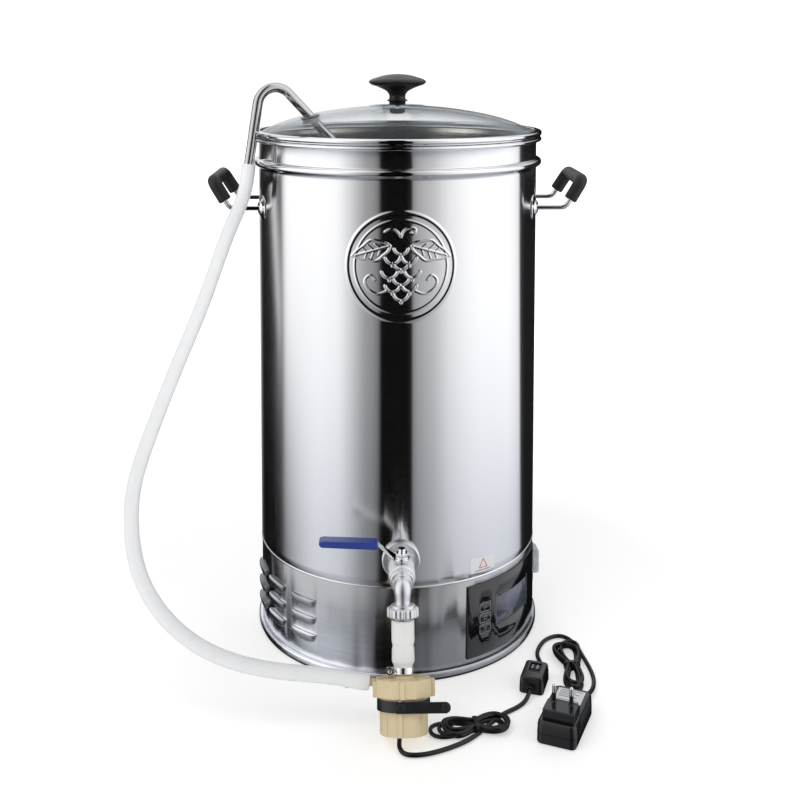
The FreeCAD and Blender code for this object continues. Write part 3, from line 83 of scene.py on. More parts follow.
def finish_mat(name, base, rough, metal=0.0, vary=0.03, rough_vary=0.04, scale=40.0, stretch=(1, 1, 1),
               bump=0.0, bump_scale=400.0, bump_stretch=None, coat=0.0, coat_rough=0.1, transmission=0.0, ior=1.46,
               sss=0.0, spec=0.5, aniso=0.0, sheen=0.0, fine=None):
    """A surface with its own colour drift, roughness drift and grain."""
    m, nt, b = principled(name)
    L = nt.links
    co = new(nt, "ShaderNodeTexCoord")
    mp = new(nt, "ShaderNodeMapping")
    mp.inputs["Scale"].default_value = stretch
    L.new(co.outputs["Object"], mp.inputs["Vector"])
    no = new(nt, "ShaderNodeTexNoise", Scale=scale, Detail=5.0, Roughness=0.55)
    L.new(mp.outputs["Vector"], no.inputs["Vector"])
    dark = [max(0.0, c * (1 - vary)) for c in base]
    lite = [min(1.0, c * (1 + vary)) for c in base]
    cr = ramp(nt, no.outputs["Fac"], [(0.32, dark), (0.68, lite)])
    L.new(cr.outputs["Color"], b.inputs["Base Color"])
    mr = new(nt, "ShaderNodeMapRange")
    mr.inputs["From Min"].default_value = 0.3
    mr.inputs["From Max"].default_value = 0.7
    mr.inputs["To Min"].default_value = max(0.0, rough - rough_vary)
    mr.inputs["To Max"].default_value = min(1.0, rough + rough_vary)
    L.new(no.outputs["Fac"], mr.inputs["Value"])
    L.new(mr.outputs["Result"], b.inputs["Roughness"])
    if bump:
        mp2 = new(nt, "ShaderNodeMapping")
        mp2.inputs["Scale"].default_value = bump_stretch or (1, 1, 1)
        L.new(co.outputs["Object"], mp2.inputs["Vector"])
        n2 = new(nt, "ShaderNodeTexNoise", Scale=bump_scale, Detail=3.0, Roughness=0.6)
        L.new(mp2.outputs["Vector"], n2.inputs["Vector"])
        bp = new(nt, "ShaderNodeBump", Strength=bump, Distance=0.0004)
        L.new(n2.outputs["Fac"], bp.inputs["Height"])
        L.new(bp.outputs["Normal"], b.inputs["Normal"])
    b.inputs["Metallic"].default_value = metal
    b.inputs["Coat Weight"].default_value = coat
    b.inputs["Coat Roughness"].default_value = coat_rough
    b.inputs["Transmission Weight"].default_value = transmission
    b.inputs["IOR"].default_value = ior
    b.inputs["Subsurface Weight"].default_value = sss
    if sss:
        b.inputs["Subsurface Radius"].default_value = (0.004, 0.004, 0.004)
        b.inputs["Subsurface Scale"].default_value = 1.0
    b.inputs["Specular IOR Level"].default_value = spec
    if aniso:
        b.inputs["Anisotropic"].default_value = aniso
        b.inputs["Anisotropic Rotation"].default_value = 0.25
        tg = new(nt, "ShaderNodeTangent")
        tg.direction_type = "RADIAL"
        tg.axis = "Z"
        L.new(tg.outputs[0], b.inputs["Tangent"])
    b.inputs["Sheen Weight"].default_value = sheen
    return m


def shade(mat, build):
    """Multiplies a material's colour by a value worked out from the place on the object, to paint light or shade into
    it.
    """
    nt = mat.node_tree
    L = nt.links
    b = nt.nodes["Principled BSDF"]
    old = b.inputs["Base Color"].links[0].from_socket
    pos = new(nt, "ShaderNodeNewGeometry")
    xyz = new(nt, "ShaderNodeSeparateXYZ")
    L.new(pos.outputs["Position"], xyz.inputs[0])
    val = build(nt, xyz.outputs["X"], xyz.outputs["Y"], xyz.outputs["Z"])
    mu = new(nt, "ShaderNodeVectorMath")
    mu.operation = "MULTIPLY"
    L.new(old, mu.inputs[0])
    L.new(val, mu.inputs[1])
    L.new(mu.outputs[0], b.inputs["Base Color"])


def span(nt, x, a, b, lo=0.0, hi=1.0):
    n = new(nt, "ShaderNodeMapRange")
    n.clamp = True
    nt.links.new(x, n.inputs["Value"])
    for k, v in (("From Min", a), ("From Max", b), ("To Min", lo), ("To Max", hi)):
        n.inputs[k].default_value = v
    return n.outputs["Result"]


def arith(nt, op, a, b):
    n = new(nt, "ShaderNodeMath")
    n.operation = op
    for i, x in enumerate((a, b)):
        if isinstance(x, (int, float)):
            n.inputs[i].default_value = x
        else:
            nt.links.new(x, n.inputs[i])
    return n.outputs[0]


def painted_reflection_bands(nt, x, y, z):
    """Painted reflection: light and dark stripes round the inside of the far wall."""
    az = arith(nt, "MULTIPLY", arith(nt, "ARCTAN2", x, y), 180 / math.pi)
    stops = [(-180, 0.42), (-90, 0.42), (-60, 0.30), (-50, 0.14), (-46, 0.46), (-40, 0.36), (-30, 0.66), (-26, 0.50),
             (-19, 0.32), (-12, 0.15), (-5, 0.06), (5, 0.06), (10, 0.11), (15, 0.20), (19, 0.52), (24, 0.90),
             (34, 0.95), (40, 0.66), (45, 0.28), (51, 0.09), (60, 0.28), (75, 0.42), (180, 0.42)]
    return ramp(nt, span(nt, az, -180, 180), [((a + 180) / 360.0, v) for a, v in stops]).outputs["Color"]


def painted_floor_reflection(nt, x, y, z):
    """Painted floor reflection: the brushed skirt is paler low on its left side."""
    k = arith(nt, "MULTIPLY", span(nt, z, 0.080, 0.032), span(nt, x, 0.0, -0.035))
    v = arith(nt, "MULTIPLY_ADD", k, 0.52)
    v.node.inputs[2].default_value = 0.48
    return v


MAT = {}
MAT["mirror"] = finish_mat("steel_mirror", (0.93, 0.93, 0.945), 0.035, metal=1.0, vary=0.006, rough_vary=0.012,
                           scale=14.0, stretch=(1, 1, 0.25))
MAT["wall"] = finish_mat("steel_wall", (0.93, 0.93, 0.945), 0.14, metal=1.0, vary=0.008, rough_vary=0.015,
                         scale=22.0, stretch=(1, 1, 0.3), aniso=1.0)
MAT["inside"] = finish_mat("steel_inside_painted_reflection", (0.98, 0.93, 0.86), 0.20, metal=1.0, vary=0.04, rough_vary=0.05,
                           scale=30.0, stretch=(1, 1, 0.2), bump=0.15, bump_scale=260.0, bump_stretch=(1, 1, 0.05))
# the inside steel's colour carries painted reflection stripes, set by angle round the kettle
shade(MAT["inside"], painted_reflection_bands)
MAT["brushed"] = finish_mat("steel_brushed", (0.93, 0.94, 0.975), 0.20, metal=1.0, vary=0.03, rough_vary=0.03,
                            scale=60.0, stretch=(0.3, 0.3, 6.0), aniso=0.75)
# the skirt steel's colour carries a painted floor reflection, paler low on the left
shade(MAT["brushed"], painted_floor_reflection)
# a darker copy of the skirt steel for the hood fronts: painted shade
MAT["pressed"] = finish_mat("steel_hood_painted_shade", (0.60, 0.61, 0.64), 0.42, metal=1.0, vary=0.03, rough_vary=0.03,
                            scale=60.0, stretch=(0.3, 0.3, 6.0))
MAT["shadow"] = finish_mat("steel_in_shade", (0.30, 0.305, 0.32), 0.35, metal=1.0, vary=0.05, rough_vary=0.03,
                           scale=60.0)
MAT["bright"] = finish_mat("steel_fittings", (0.90, 0.90, 0.91), 0.07, metal=1.0, vary=0.02, rough_vary=0.03,
                           scale=90.0)
MAT["goose"] = finish_mat("steel_tube", (0.60, 0.60, 0.61), 0.10, metal=1.0, vary=0.02, rough_vary=0.03, scale=90.0)
MAT["cast"] = finish_mat("steel_cast", (0.80, 0.81, 0.835), 0.36, metal=1.0, vary=0.06, rough_vary=0.06,
                         scale=120.0, bump=0.12, bump_scale=900.0)
MAT["black"] = finish_mat("black_plastic", (0.012, 0.012, 0.0135), 0.33, vary=0.15, rough_vary=0.05, scale=60.0,
                          bump=0.10, bump_scale=1500.0)
MAT["shiny"] = finish_mat("black_moulded", (0.006, 0.006, 0.007), 0.24, vary=0.15, rough_vary=0.05, scale=60.0,
                          coat=0.35, coat_rough=0.12, bump=0.06, bump_scale=1500.0)
MAT["rubber"] = finish_mat("black_rubber", (0.011, 0.0115, 0.012), 0.46, vary=0.2, rough_vary=0.06, scale=50.0,
                           bump=0.25, bump_scale=1100.0)
MAT["gloss"] = finish_mat("panel_gloss", (0.005, 0.005, 0.007), 0.08, vary=0.1, rough_vary=0.02, scale=25.0,
                          coat=0.6, coat_rough=0.04)
MAT["lcd"] = finish_mat("lcd_window", (0.075, 0.085, 0.125), 0.18, vary=0.45, rough_vary=0.04, scale=26.0, coat=0.5,
                        coat_rough=0.05)
MAT["hose"] = finish_mat("silicone_clear", (0.86, 0.87, 0.88), 0.30, vary=0.01, rough_vary=0.04, scale=30.0,
                         sss=0.35)
MAT["white"] = finish_mat("silicone_white", (0.83, 0.825, 0.81), 0.38, vary=0.015, rough_vary=0.05, scale=40.0,
                          sss=0.15, bump=0.08, bump_scale=700.0)
MAT["blue"] = finish_mat("vinyl_blue", (0.020, 0.046, 0.26), 0.30, vary=0.08, rough_vary=0.06, scale=70.0,
                         coat=0.25, coat_rough=0.2, bump=0.10, bump_scale=600.0)
MAT["tan"] = finish_mat("plastic_tan", (0.70, 0.585, 0.37), 0.44, vary=0.05, rough_vary=0.06, scale=45.0,
                        bump=0.10, bump_scale=1200.0, sss=0.05)
MAT["cable"] = finish_mat("cable_black", (0.006, 0.006, 0.0065), 0.32, vary=0.2, rough_vary=0.08, scale=80.0,
                          bump=0.15, bump_scale=900.0)
MAT["boot"] = finish_mat("boot_grey", (0.62, 0.63, 0.66), 0.28, vary=0.03, rough_vary=0.05, scale=60.0,
                         transmission=0.10, sss=0.2, bump=0.05, bump_scale=700.0)
MAT["seal"] = finish_mat("seal_grey", (0.13, 0.135, 0.145), 0.22, vary=0.04, rough_vary=0.05, scale=60.0, coat=0.3,
                         bump=0.05, bump_scale=700.0)
MAT["paper"] = finish_mat("label_pale", (0.74, 0.75, 0.77), 0.42, vary=0.02, rough_vary=0.04, scale=60.0)
MAT["ink"] = finish_mat("label_ink", (0.22, 0.22, 0.24), 0.5, vary=0.05, scale=80.0)
MAT["red"] = finish_mat("label_red", (0.62, 0.05, 0.04), 0.4, vary=0.05, scale=80.0)
MAT["mark"] = finish_mat("panel_marks", (0.26, 0.27, 0.30), 0.35, vary=0.03, scale=80.0)
MAT["green"] = finish_mat("board_green", (0.04, 0.22, 0.09), 0.4, vary=0.12, scale=160.0, coat=0.3)
MAT["alu"] = finish_mat("aluminium", (0.78, 0.78, 0.80), 0.34, metal=1.0, vary=0.04, scale=90.0, bump=0.1)


def thin_glass(name, sheen_color, clear, sheen, hub=1.0):
    """A clear pane seen through without bending, with a painted sky sheen (a lit tinted surface mixed in by facing)
    that grows toward its edges.
    """
    m, nt, b = principled(name)
    L = nt.links
    co = new(nt, "ShaderNodeTexCoord")
    no = new(nt, "ShaderNodeTexNoise", Scale=9.0, Detail=3.0, Roughness=0.5)
    L.new(co.outputs["Object"], no.inputs["Vector"])
    cr = ramp(nt, no.outputs["Fac"], [(0.3, [c * 0.97 for c in sheen_color]), (0.7, sheen_color)])
    tr = new(nt, "ShaderNodeBsdfTransparent", Color=(clear[0], clear[1], clear[2], 1))
    b.inputs["Roughness"].default_value = 0.04
    b.inputs["IOR"].default_value = 1.5
    b.inputs["Specular IOR Level"].default_value = 0.9
    L.new(cr.outputs["Color"], b.inputs["Base Color"])
    lw = new(nt, "ShaderNodeLayerWeight", Blend=0.5)
    sh = ramp(nt, lw.outputs["Facing"], sheen)
    mx = nt.nodes.new("ShaderNodeMixShader")
    pos = new(nt, "ShaderNodeNewGeometry")
    xyz = new(nt, "ShaderNodeSeparateXYZ")
    L.new(pos.outputs["Position"], xyz.inputs[0])
    # the painted sheen is thinned in a strip in front of the knob, down to hub of its strength, so the dark neck shows
    # through
    side = span(nt, arith(nt, "ABSOLUTE", xyz.outputs["X"], 0.0), 0.017, 0.011)
    front = arith(nt, "MULTIPLY", span(nt, xyz.outputs["Y"], 0.0, -0.012), span(nt, xyz.outputs["Y"], -0.128, -0.100))
    near = arith(nt, "SUBTRACT", 1.0, arith(nt, "MULTIPLY", arith(nt, "MULTIPLY", side, front), 1.0 - hub))
    L.new(arith(nt, "MULTIPLY", sh.outputs["Color"], near), mx.inputs[0])
    L.new(tr.outputs[0], mx.inputs[1])
    L.new(b.outputs[0], mx.inputs[2])
    L.new(mx.outputs[0], nt.nodes["Material Output"].inputs["Surface"])
    return m


MAT["glass"] = thin_glass("lid_glass", (0.60, 0.645, 0.69), (0.975, 0.982, 0.985),
                          [(0.0, 0.03), (0.60, 0.04), (0.74, 0.09), (0.80, 0.26), (0.86, 0.50), (0.93, 0.66), (1.0, 0.85)], hub=0.25)
MAT["veil"] = thin_glass("knob_plate_clear", (0.60, 0.64, 0.68), (0.95, 0.96, 0.97),
                         [(0.0, 0.06), (0.8, 0.14), (0.95, 0.35), (1.0, 0.6)], hub=0.3)
MAT["lip"] = finish_mat("steel_lip", (0.95, 0.95, 0.96), 0.12, metal=1.0, vary=0.02, rough_vary=0.03, scale=60.0)


# -------------------------------------------------------------- mesh building
def V3(a):
    return np.asarray(a, float).reshape(-1, 3)


def tf(mesh, m):
    """A mesh's points taken through a 4x4 in millimetres."""
    v, f = mesh
    m = np.array(m, float)
    return V3(v) @ m[:3, :3].T + m[:3, 3], f


def joined(parts):
    vs, fs, n = [], [], 0
    for v, f in parts:
        vs.append(V3(v))
        fs.extend([tuple(i + n for i in q) for q in f])
        n += len(v)
    return np.vstack(vs), fs


def lattice(P, wrap_u=False, wrap_v=False):
    """Quads over an array of points (nu, nv, 3)."""
    nu, nv = P.shape[:2]
    faces = []
    for i in range(nu if wrap_u else nu - 1):
        a, b = i * nv, ((i + 1) % nu) * nv
        for j in range(nv if wrap_v else nv - 1):
            k = (j + 1) % nv
            faces.append((a + j, b + j, b + k, a + k))
    return P.reshape(-1, 3), faces


def rev(prof, n=96, closed=True):
    """Turned about local Z from (radius, height); the profile closes on itself unless told otherwise."""
    prof = np.asarray(prof, float)
    a = np.linspace(0, 2 * math.pi, n, endpoint=False)
    P = np.zeros((n, len(prof), 3))
    P[:, :, 0] = np.cos(a)[:, None] * prof[None, :, 0]
    P[:, :, 1] = np.sin(a)[:, None] * prof[None, :, 0]
    P[:, :, 2] = prof[None, :, 1]
    return lattice(P, True, closed)


def rounded(pts, r, seg=4, closed=True):
    """A polygon's corners rounded; r is one number or one for each corner."""
    pts = [np.array(p, float) for p in pts]
    n = len(pts)
    rs = [r] * n if isinstance(r, (int, float)) else list(r)
    out = []
    for i, p in enumerate(pts):
        if not closed and i in (0, n - 1):
            out.append(p)
            continue
        a, b = pts[i - 1] - p, pts[(i + 1) % n] - p
        la, lb = np.linalg.norm(a), np.linalg.norm(b)
        u, v = a / la, b / lb
        ang = math.acos(max(-1, min(1, float(u @ v))))
        if rs[i] <= 0 or ang > math.pi - 0.02:
            out.append(p)
            continue
        t = min(rs[i] / math.tan(ang / 2), la * 0.49, lb * 0.49)
        s, e = p + u * t, p + v * t
        for k in range(seg + 1):
            w = k / seg
            out.append((1 - w) ** 2 * s + 2 * w * (1 - w) * p + w * w * e)
    return np.array(out)


def spline(pts, n, start=None, end=None):
    """Cubic curve through the points, spaced by chord, with the end directions held where given."""
    P = np.asarray(pts, float)
    d = np.r_[0, np.cumsum(np.linalg.norm(np.diff(P, axis=0), axis=1))]
    m, h = len(P), np.diff(d)
    A, B = np.zeros((m, m)), np.zeros((m, P.shape[1]))
    for i in range(1, m - 1):
        A[i, i - 1], A[i, i], A[i, i + 1] = h[i], 2 * (h[i - 1] + h[i]), h[i - 1]
        B[i] = 3 * (h[i] / h[i - 1] * (P[i] - P[i - 1]) + h[i - 1] / h[i] * (P[i + 1] - P[i]))
    if start is None:
        A[0, 0], A[0, 1], B[0] = 2, 1, 3 * (P[1] - P[0]) / h[0]
    else:
        s = np.asarray(start, float)
        A[0, 0], B[0] = 1, s / np.linalg.norm(s)
    if end is None:
        A[-1, -1], A[-1, -2], B[-1] = 2, 1, 3 * (P[-1] - P[-2]) / h[-1]
    else:
        e = np.asarray(end, float)
        A[-1, -1], B[-1] = 1, e / np.linalg.norm(e)
    T = np.linalg.solve(A, B)
    t = np.linspace(0, d[-1], n)
    k = np.clip(np.searchsorted(d, t, side="right") - 1, 0, m - 2)
    w = ((t - d[k]) / h[k])[:, None]
    H = h[k][:, None]
    return ((2 * w ** 3 - 3 * w ** 2 + 1) * P[k] + (w ** 3 - 2 * w ** 2 + w) * H * T[k]
            + (-2 * w ** 3 + 3 * w ** 2) * P[k + 1] + (w ** 3 - w ** 2) * H * T[k + 1])


def even(P, step):
    """The same path with points a set distance apart."""
    P = np.asarray(P, float)
    d = np.r_[0, np.cumsum(np.linalg.norm(np.diff(P, axis=0), axis=1))]
    t = np.linspace(0, d[-1], max(2, int(d[-1] / step) + 1))
    return np.stack([np.interp(t, d, P[:, i]) for i in range(3)], 1)


def corner_path(pts, radii, seg=14):
    """Straight runs joined by true arcs."""
    pts = [np.array(p, float) for p in pts]
    out = [pts[0]]
    for i in range(1, len(pts) - 1):
        p, r = pts[i], radii[i - 1]
        u = (pts[i - 1] - p) / np.linalg.norm(pts[i - 1] - p)
        v = (pts[i + 1] - p) / np.linalg.norm(pts[i + 1] - p)
        half = math.acos(max(-1, min(1, float(u @ v)))) / 2
        mid = (u + v) / np.linalg.norm(u + v)
        c = p + mid * (r / math.sin(half))
        a, b = p + u * (r / math.tan(half)) - c, p + v * (r / math.tan(half)) - c
        full = math.acos(max(-1, min(1, float(a @ b) / (np.linalg.norm(a) * np.linalg.norm(b)))))
        for k in range(seg + 1):
            w = k / seg
            out.append(c + (math.sin((1 - w) * full) * a + math.sin(w * full) * b) / math.sin(full))
    out.append(pts[-1])
    return np.array(out)


def tube(path, r, n=24, bore=None, loop=False, squash=None):
    """A round section along a path. r can change along it; bore hollows it; squash flattens it in height."""
    P = np.asarray(path, float)
    m = len(P)
    if loop:
        T = np.roll(P, -1, 0) - np.roll(P, 1, 0)
    else:
        T = np.gradient(P, axis=0)
    T /= np.linalg.norm(T, axis=1)[:, None]
    ref = np.array([0, 0, 1.0]) if abs(T[0][2]) < 0.9 else np.array([1.0, 0, 0])
    N = np.zeros_like(P)
    N[0] = ref - T[0] * (ref @ T[0])
    N[0] /= np.linalg.norm(N[0])
    for i in range(1, m):
        v = N[i - 1] - T[i] * (N[i - 1] @ T[i])
        N[i] = v / np.linalg.norm(v)
    B = np.cross(T, N)
    a = np.linspace(0, 2 * math.pi, n, endpoint=False)

    def skin(rr):
        rr = np.broadcast_to(np.asarray(rr, float), (m,))
        s = squash if squash is not None else 1.0
        return (P[:, None, :] + rr[:, None, None] * (np.cos(a)[None, :, None] * N[:, None, :] * s
                                                    + np.sin(a)[None, :, None] * B[:, None, :]))
    v, f = lattice(skin(r), loop, True)
    if loop:
        return v, f
    if bore is None:
        f = f + [tuple(range(n))[::-1], tuple((m - 1) * n + k for k in range(n))]
        return v, f
    vi, fi = lattice(skin(bore), False, True)
    k0 = len(v)
    f = f + [tuple(i + k0 for i in q)[::-1] for q in fi]
    for e in (0, m - 1):
        for j in range(n):
            k = (j + 1) % n
            q = (e * n + j, e * n + k, k0 + e * n + k, k0 + e * n + j)
            f.append(q if e == 0 else q[::-1])
    return np.vstack([v, vi]), f


def from_bm(bm):
    bm.verts.ensure_lookup_table()
    v = np.array([x.co[:] for x in bm.verts], float)
    f = [tuple(x.index for x in q.verts) for q in bm.faces]
    bm.free()
    return v, f


def block(x0, x1, y0, y1, z0, z1, r=0.6, seg=3, only=None):
    """A box with rounded edges."""
    bm = bmesh.new()
    bmesh.ops.create_cube(bm, size=1.0)
    for v in bm.verts:
        v.co = Vector(((x0 + x1) / 2 + v.co.x * (x1 - x0), (y0 + y1) / 2 + v.co.y * (y1 - y0),
                       (z0 + z1) / 2 + v.co.z * (z1 - z0)))
    edges = [e for e in bm.edges if only is None or only(e)]
    if r > 0:
        bmesh.ops.bevel(bm, geom=edges, offset=r, segments=seg, profile=0.5, affect="EDGES", clamp_overlap=True)
    return from_bm(bm)


def prism(poly, z0, z1, r=0.6, seg=3):
    """A polygon raised from z0 to z1 with its edges rounded."""
    bm = bmesh.new()
    lo = [bm.verts.new((p[0], p[1], z0)) for p in poly]
    hi = [bm.verts.new((p[0], p[1], z1)) for p in poly]
    n = len(poly)
    bm.faces.new(lo[::-1])
    bm.faces.new(hi)
    for i in range(n):
        k = (i + 1) % n
        bm.faces.new((lo[i], lo[k], hi[k], hi[i]))
    bmesh.ops.recalc_face_normals(bm, faces=bm.faces)
    if r > 0:
        sharp = [e for e in bm.edges if e.calc_face_angle(0) > rad(25)]
        bmesh.ops.bevel(bm, geom=sharp, offset=r, segments=seg, profile=0.5, affect="EDGES", clamp_overlap=True)
    return from_bm(bm)


def make(name, parts, mat, body="kettle", stands_for=(), angle=38, weighted=True, ride=True):
    v, f = joined(parts) if isinstance(parts, list) else parts
    bm = bmesh.new()
    vs = [bm.verts.new(p) for p in (V3(v) / 1000.0)]
    for q in f:
        q = [vs[i] for i in q]
        if len(set(q)) > 2:
            try:
                bm.faces.new(q)
            except ValueError:
                pass
    bmesh.ops.remove_doubles(bm, verts=bm.verts, dist=2e-6)
    loose = [x for x in bm.verts if not x.link_faces]
    bmesh.ops.delete(bm, geom=loose, context="VERTS")
    bmesh.ops.recalc_face_normals(bm, faces=bm.faces)
    me = bpy.data.meshes.new(name)
    bm.to_mesh(me)
    bm.free()
    me.shade_smooth()
    me.set_sharp_from_angle(angle=rad(angle))
    for one in (mat if isinstance(mat, (list, tuple)) else [mat]):
        me.materials.append(MAT[one])
    o = bpy.data.objects.new(name, me)
    scene.collection.objects.link(o)
    if weighted:
        w = o.modifiers.new("weighted", "WEIGHTED_NORMAL")
        w.keep_sharp = True
    if ride:
        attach(o, body)
    if stands_for:
        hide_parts(*stands_for)
    return o


def T(x=0.0, y=0.0, z=0.0):
    return np.array(Matrix.Translation((x, y, z)), float)


def R(deg, axis):
    return np.array(Matrix.Rotation(rad(deg), 4, axis), float)


def polar(az, r, z):
    return np.array([r * math.sin(rad(az)), -r * math.cos(rad(az)), z])


def wall_frame(az, z=0.0):
    """+Y outward at this angle from the front, +Z up, +X toward smaller angles."""
    return T(0, 0, z) @ R(180 + az, "Z")


def aim(p, d):
    """+Z along d at p."""
    q = Vector((0, 0, 1)).rotation_difference(Vector(d)).to_matrix().to_4x4()
    return T(*p) @ np.array(q, float)


EL = T(0, -246, 147) @ R(-14, "X")
PP = T(0, -295, 9.9) @ R(-22, "X")
ISW = T(153.6, -187, 0) @ R(-19, "Z")
AD = T(175, -271, 0) @ R(-24, "Z")
SW = wall_frame(94.5, 60.0)


def at(m, x, y, z):
    return (m @ np.array([x, y, z, 1.0]))[:3]


def turn(m, x, y, z):
    return m[:3, :3] @ np.array([x, y, z], float)


# ------------------------------------------------------------ the boiler wall
BODY_R = 175.0
EZ = 487.4
BZ, RZ = 592.6, 623.4


def stroke(p, paths, w, h):
    """Height of raised lines of half-width w over points p (n, 2)."""
    out = np.zeros(len(p))
    for path in paths:
        path = np.asarray(path, float)
        best = np.full(len(p), 1e9)
        for a, b in zip(path[:-1], path[1:]):
            ab = b - a
            t = np.clip(((p - a) @ ab) / max(ab @ ab, 1e-9), 0, 1)
            best = np.minimum(best, np.linalg.norm(p - (a + t[:, None] * ab), axis=1))
        x = np.clip(best / w, 0, 1)
        out = np.maximum(out, h * (0.5 + 0.5 * np.cos(math.pi * x)))
    return out


def curve2(pts, n=22, loop=False):
    P = np.asarray(pts, float)
    if loop:
        P = np.vstack([P, P[:1]])
    q = spline(np.c_[P, np.zeros(len(P))], n)
    return q[:, :2]


def leaf(cx, cy, length, width, deg, n=18):
    """A pointed leaf's outline with its middle rib and side ribs."""
    t = np.linspace(0, 1, n)
    w = width * np.sin(math.pi * t ** 0.8) * (1 + 0.10 * np.cos(14 * t))
    up = np.c_[t * length, w / 2]
    dn = np.c_[t * length, -w / 2][::-1]
    out = [np.vstack([up, dn]), np.c_[t * length * 0.92, 0 * t]]
    for k in (0.25, 0.42, 0.6):
        ww = width * math.sin(math.pi * k ** 0.8) * 0.36
        out.append(np.array([[k * length, 0], [k * length + ww * 0.7, ww]]))
        out.append(np.array([[k * length, 0], [k * length + ww * 0.7, -ww]]))
    c, s = math.cos(rad(deg)), math.sin(rad(deg))
    return [q @ np.array([[c, s], [-s, c]]) + np.array([cx, cy]) for q in out]


def emblem(u, v):
    """Raised double ring with a hop cone and two leaves; u along the wall, v up, from its centre."""
    p = np.c_[u, v]
    r = np.hypot(u, v)
    h = np.zeros(len(p))

    def bead(r0, w, hh):
        x = np.clip(np.abs(r - r0) / w, 0, 1)
        return hh * (0.5 + 0.5 * np.cos(math.pi * x))
    h = np.maximum(h, bead(62.3, 3.0, 1.25))
    inner = bead(53.3, 1.9, 0.75)
    scales = []
    for cx, cy, rr in ((0, 24, 8.5), (-9.5, 14, 9), (9.5, 14, 9), (0, 8, 9.5), (-13, -2, 9.5), (13, -2, 9.5),
                       (0, -9, 10), (-9.5, -18, 9), (9.5, -18, 9), (0, -28, 9)):
        t = np.linspace(rad(200), rad(340), 12)
        arc = np.c_[cx + rr * np.cos(t), cy + rr * 1.15 * np.sin(t)]
        tip = np.array([[cx, cy - rr * 1.5]])
        scales.append(np.vstack([arc[:6], tip, arc[6:]]))
    art = stroke(p, scales, 1.9, 1.15)
    left = leaf(-12, 24, 46, 22, 196)
    right = leaf(12, 24, 46, 22, -16)
    art = np.maximum(art, stroke(p, left[:2] + right[:2], 1.8, 1.15))
    art = np.maximum(art, stroke(p, left[2:] + right[2:], 1.1, 0.6))
    vine = [curve2([(0, 34), (3, 41), (10, 44.5), (17, 42), (15, 37.5), (11, 39)]),
            curve2([(0, 34), (-4, 40), (-11, 43), (-18, 40)]),
            curve2([(-16, -27), (-27, -31), (-38, -25), (-41, -15), (-35, -10), (-30, -15)]),
            curve2([(16, -27), (27, -31), (38, -25), (41, -15), (35, -10), (30, -15)])]
    art = np.maximum(art, stroke(p, vine, 1.6, 1.0))
    return np.maximum(h, np.maximum(inner, art))


def arc_pts(cx, cz, r, a0, a1, n):
    return [(cx + r * math.cos(rad(a)), cz + r * math.sin(rad(a))) for a in np.linspace(a0, a1, n)]


def wall_mesh():
    z_low = [112.7, 113.1] + list(np.linspace(122, 415, 16))
    z_emb = list(np.arange(EZ - 66.0, EZ + 66.01, 0.6))
    z_up = list(np.linspace(560, 584, 4))
    out = [(BODY_R - 0.3, z_low[0])] + [(BODY_R, z) for z in z_low[1:] + z_emb + z_up]
    flat = [True] * len(out)
    bead = [(BODY_R + 0.2, BZ - 5.3), (BODY_R + 0.9, BZ - 4.6)] + [
        (BODY_R + 0.9 + 5.45 * math.cos(t) ** 0.8, BZ + 4.5 * math.sin(t)) for t in np.linspace(-1.3, 1.3, 17)] + [
        (BODY_R + 0.9, BZ + 4.6), (BODY_R + 0.2, BZ + 5.3)]
    rim = [(BODY_R, BZ + 7.5), (BODY_R, RZ - 6.0), (BODY_R + 0.3, RZ - 5.3), (BODY_R + 1.2, RZ - 4.85)]
    rim += [(BODY_R + 3.5 + 2.95 * math.cos(rad(a)), RZ - 2.45 + 2.4 * math.sin(rad(a))) for a in
            np.linspace(-100, 100, 18)]
    rim += [(BODY_R + 1.0, RZ - 0.1), (BODY_R - 0.6, RZ - 0.5), (BODY_R - 1.2, RZ - 1.8)]
    inner = [(BODY_R - 1.2, BZ + 4.4), (BODY_R + 0.4, BZ + 3.4), (BODY_R + 3.6, BZ + 2.0), (BODY_R + 4.9, BZ),
             (BODY_R + 3.6, BZ - 2.0), (BODY_R + 0.4, BZ - 3.4), (BODY_R - 1.2, BZ - 4.4)] + [
        (BODY_R - 1.2, z) for z in np.linspace(560, 125, 8)] + [(BODY_R - 1.2, 112.7)]
    prof = out + bead + rim + inner
    az = np.unique(np.round(np.r_[np.arange(-180, 180, 1.5), np.arange(-21.9, 21.91, 0.2)], 3))
    Z = np.array([p[1] for p in prof])
    Rr = np.tile(np.array([p[0] for p in prof]), (len(az), 1))
    n_out = len(out)
    uu = np.repeat(np.radians(az) * BODY_R, n_out).reshape(len(az), n_out)
    vv = np.tile(Z[:n_out] - EZ, (len(az), 1))
    near = (np.abs(uu) < 68) & (np.abs(vv) < 66)
    add = np.zeros_like(uu)
    add[near] = emblem(uu[near], vv[near]) * 0.78
    Rr[:, :n_out] += add
    a = np.radians(az)
    P = np.zeros((len(az), len(prof), 3))
    P[:, :, 0] = np.sin(a)[:, None] * Rr
    P[:, :, 1] = -np.cos(a)[:, None] * Rr
    P[:, :, 2] = Z[None, :]
    return lattice(P, True, True), n_out + len(bead) + len(rim)


(wall_vf, n_shell) = wall_mesh()
wall = make("kettle_wall", wall_vf, ["wall", "inside", "mirror"], "kettle", ["boiler_wall"], angle=60,
            weighted=False)
for poly in wall.data.polygons:
    c = poly.center * 1000
    rr = math.hypot(c.x, c.y)
    inward = poly.normal.xy.dot(c.xy) < 0
    if rr < 174.4 and c.z < RZ - 1.0 or (inward and abs(c.z - BZ) < 5.5):
        poly.material_index = 1
    elif abs(c.z - BZ) < 5.4 or c.z > RZ - 5.5:
        poly.material_index = 2
make("wall_seam_lip", rev(rounded([(174.3, 111.5), (175.4, 111.5), (175.4, 113.4), (174.3, 113.4)], 0.5, 4), 256), "lip",
     "kettle", angle=60, weighted=False)


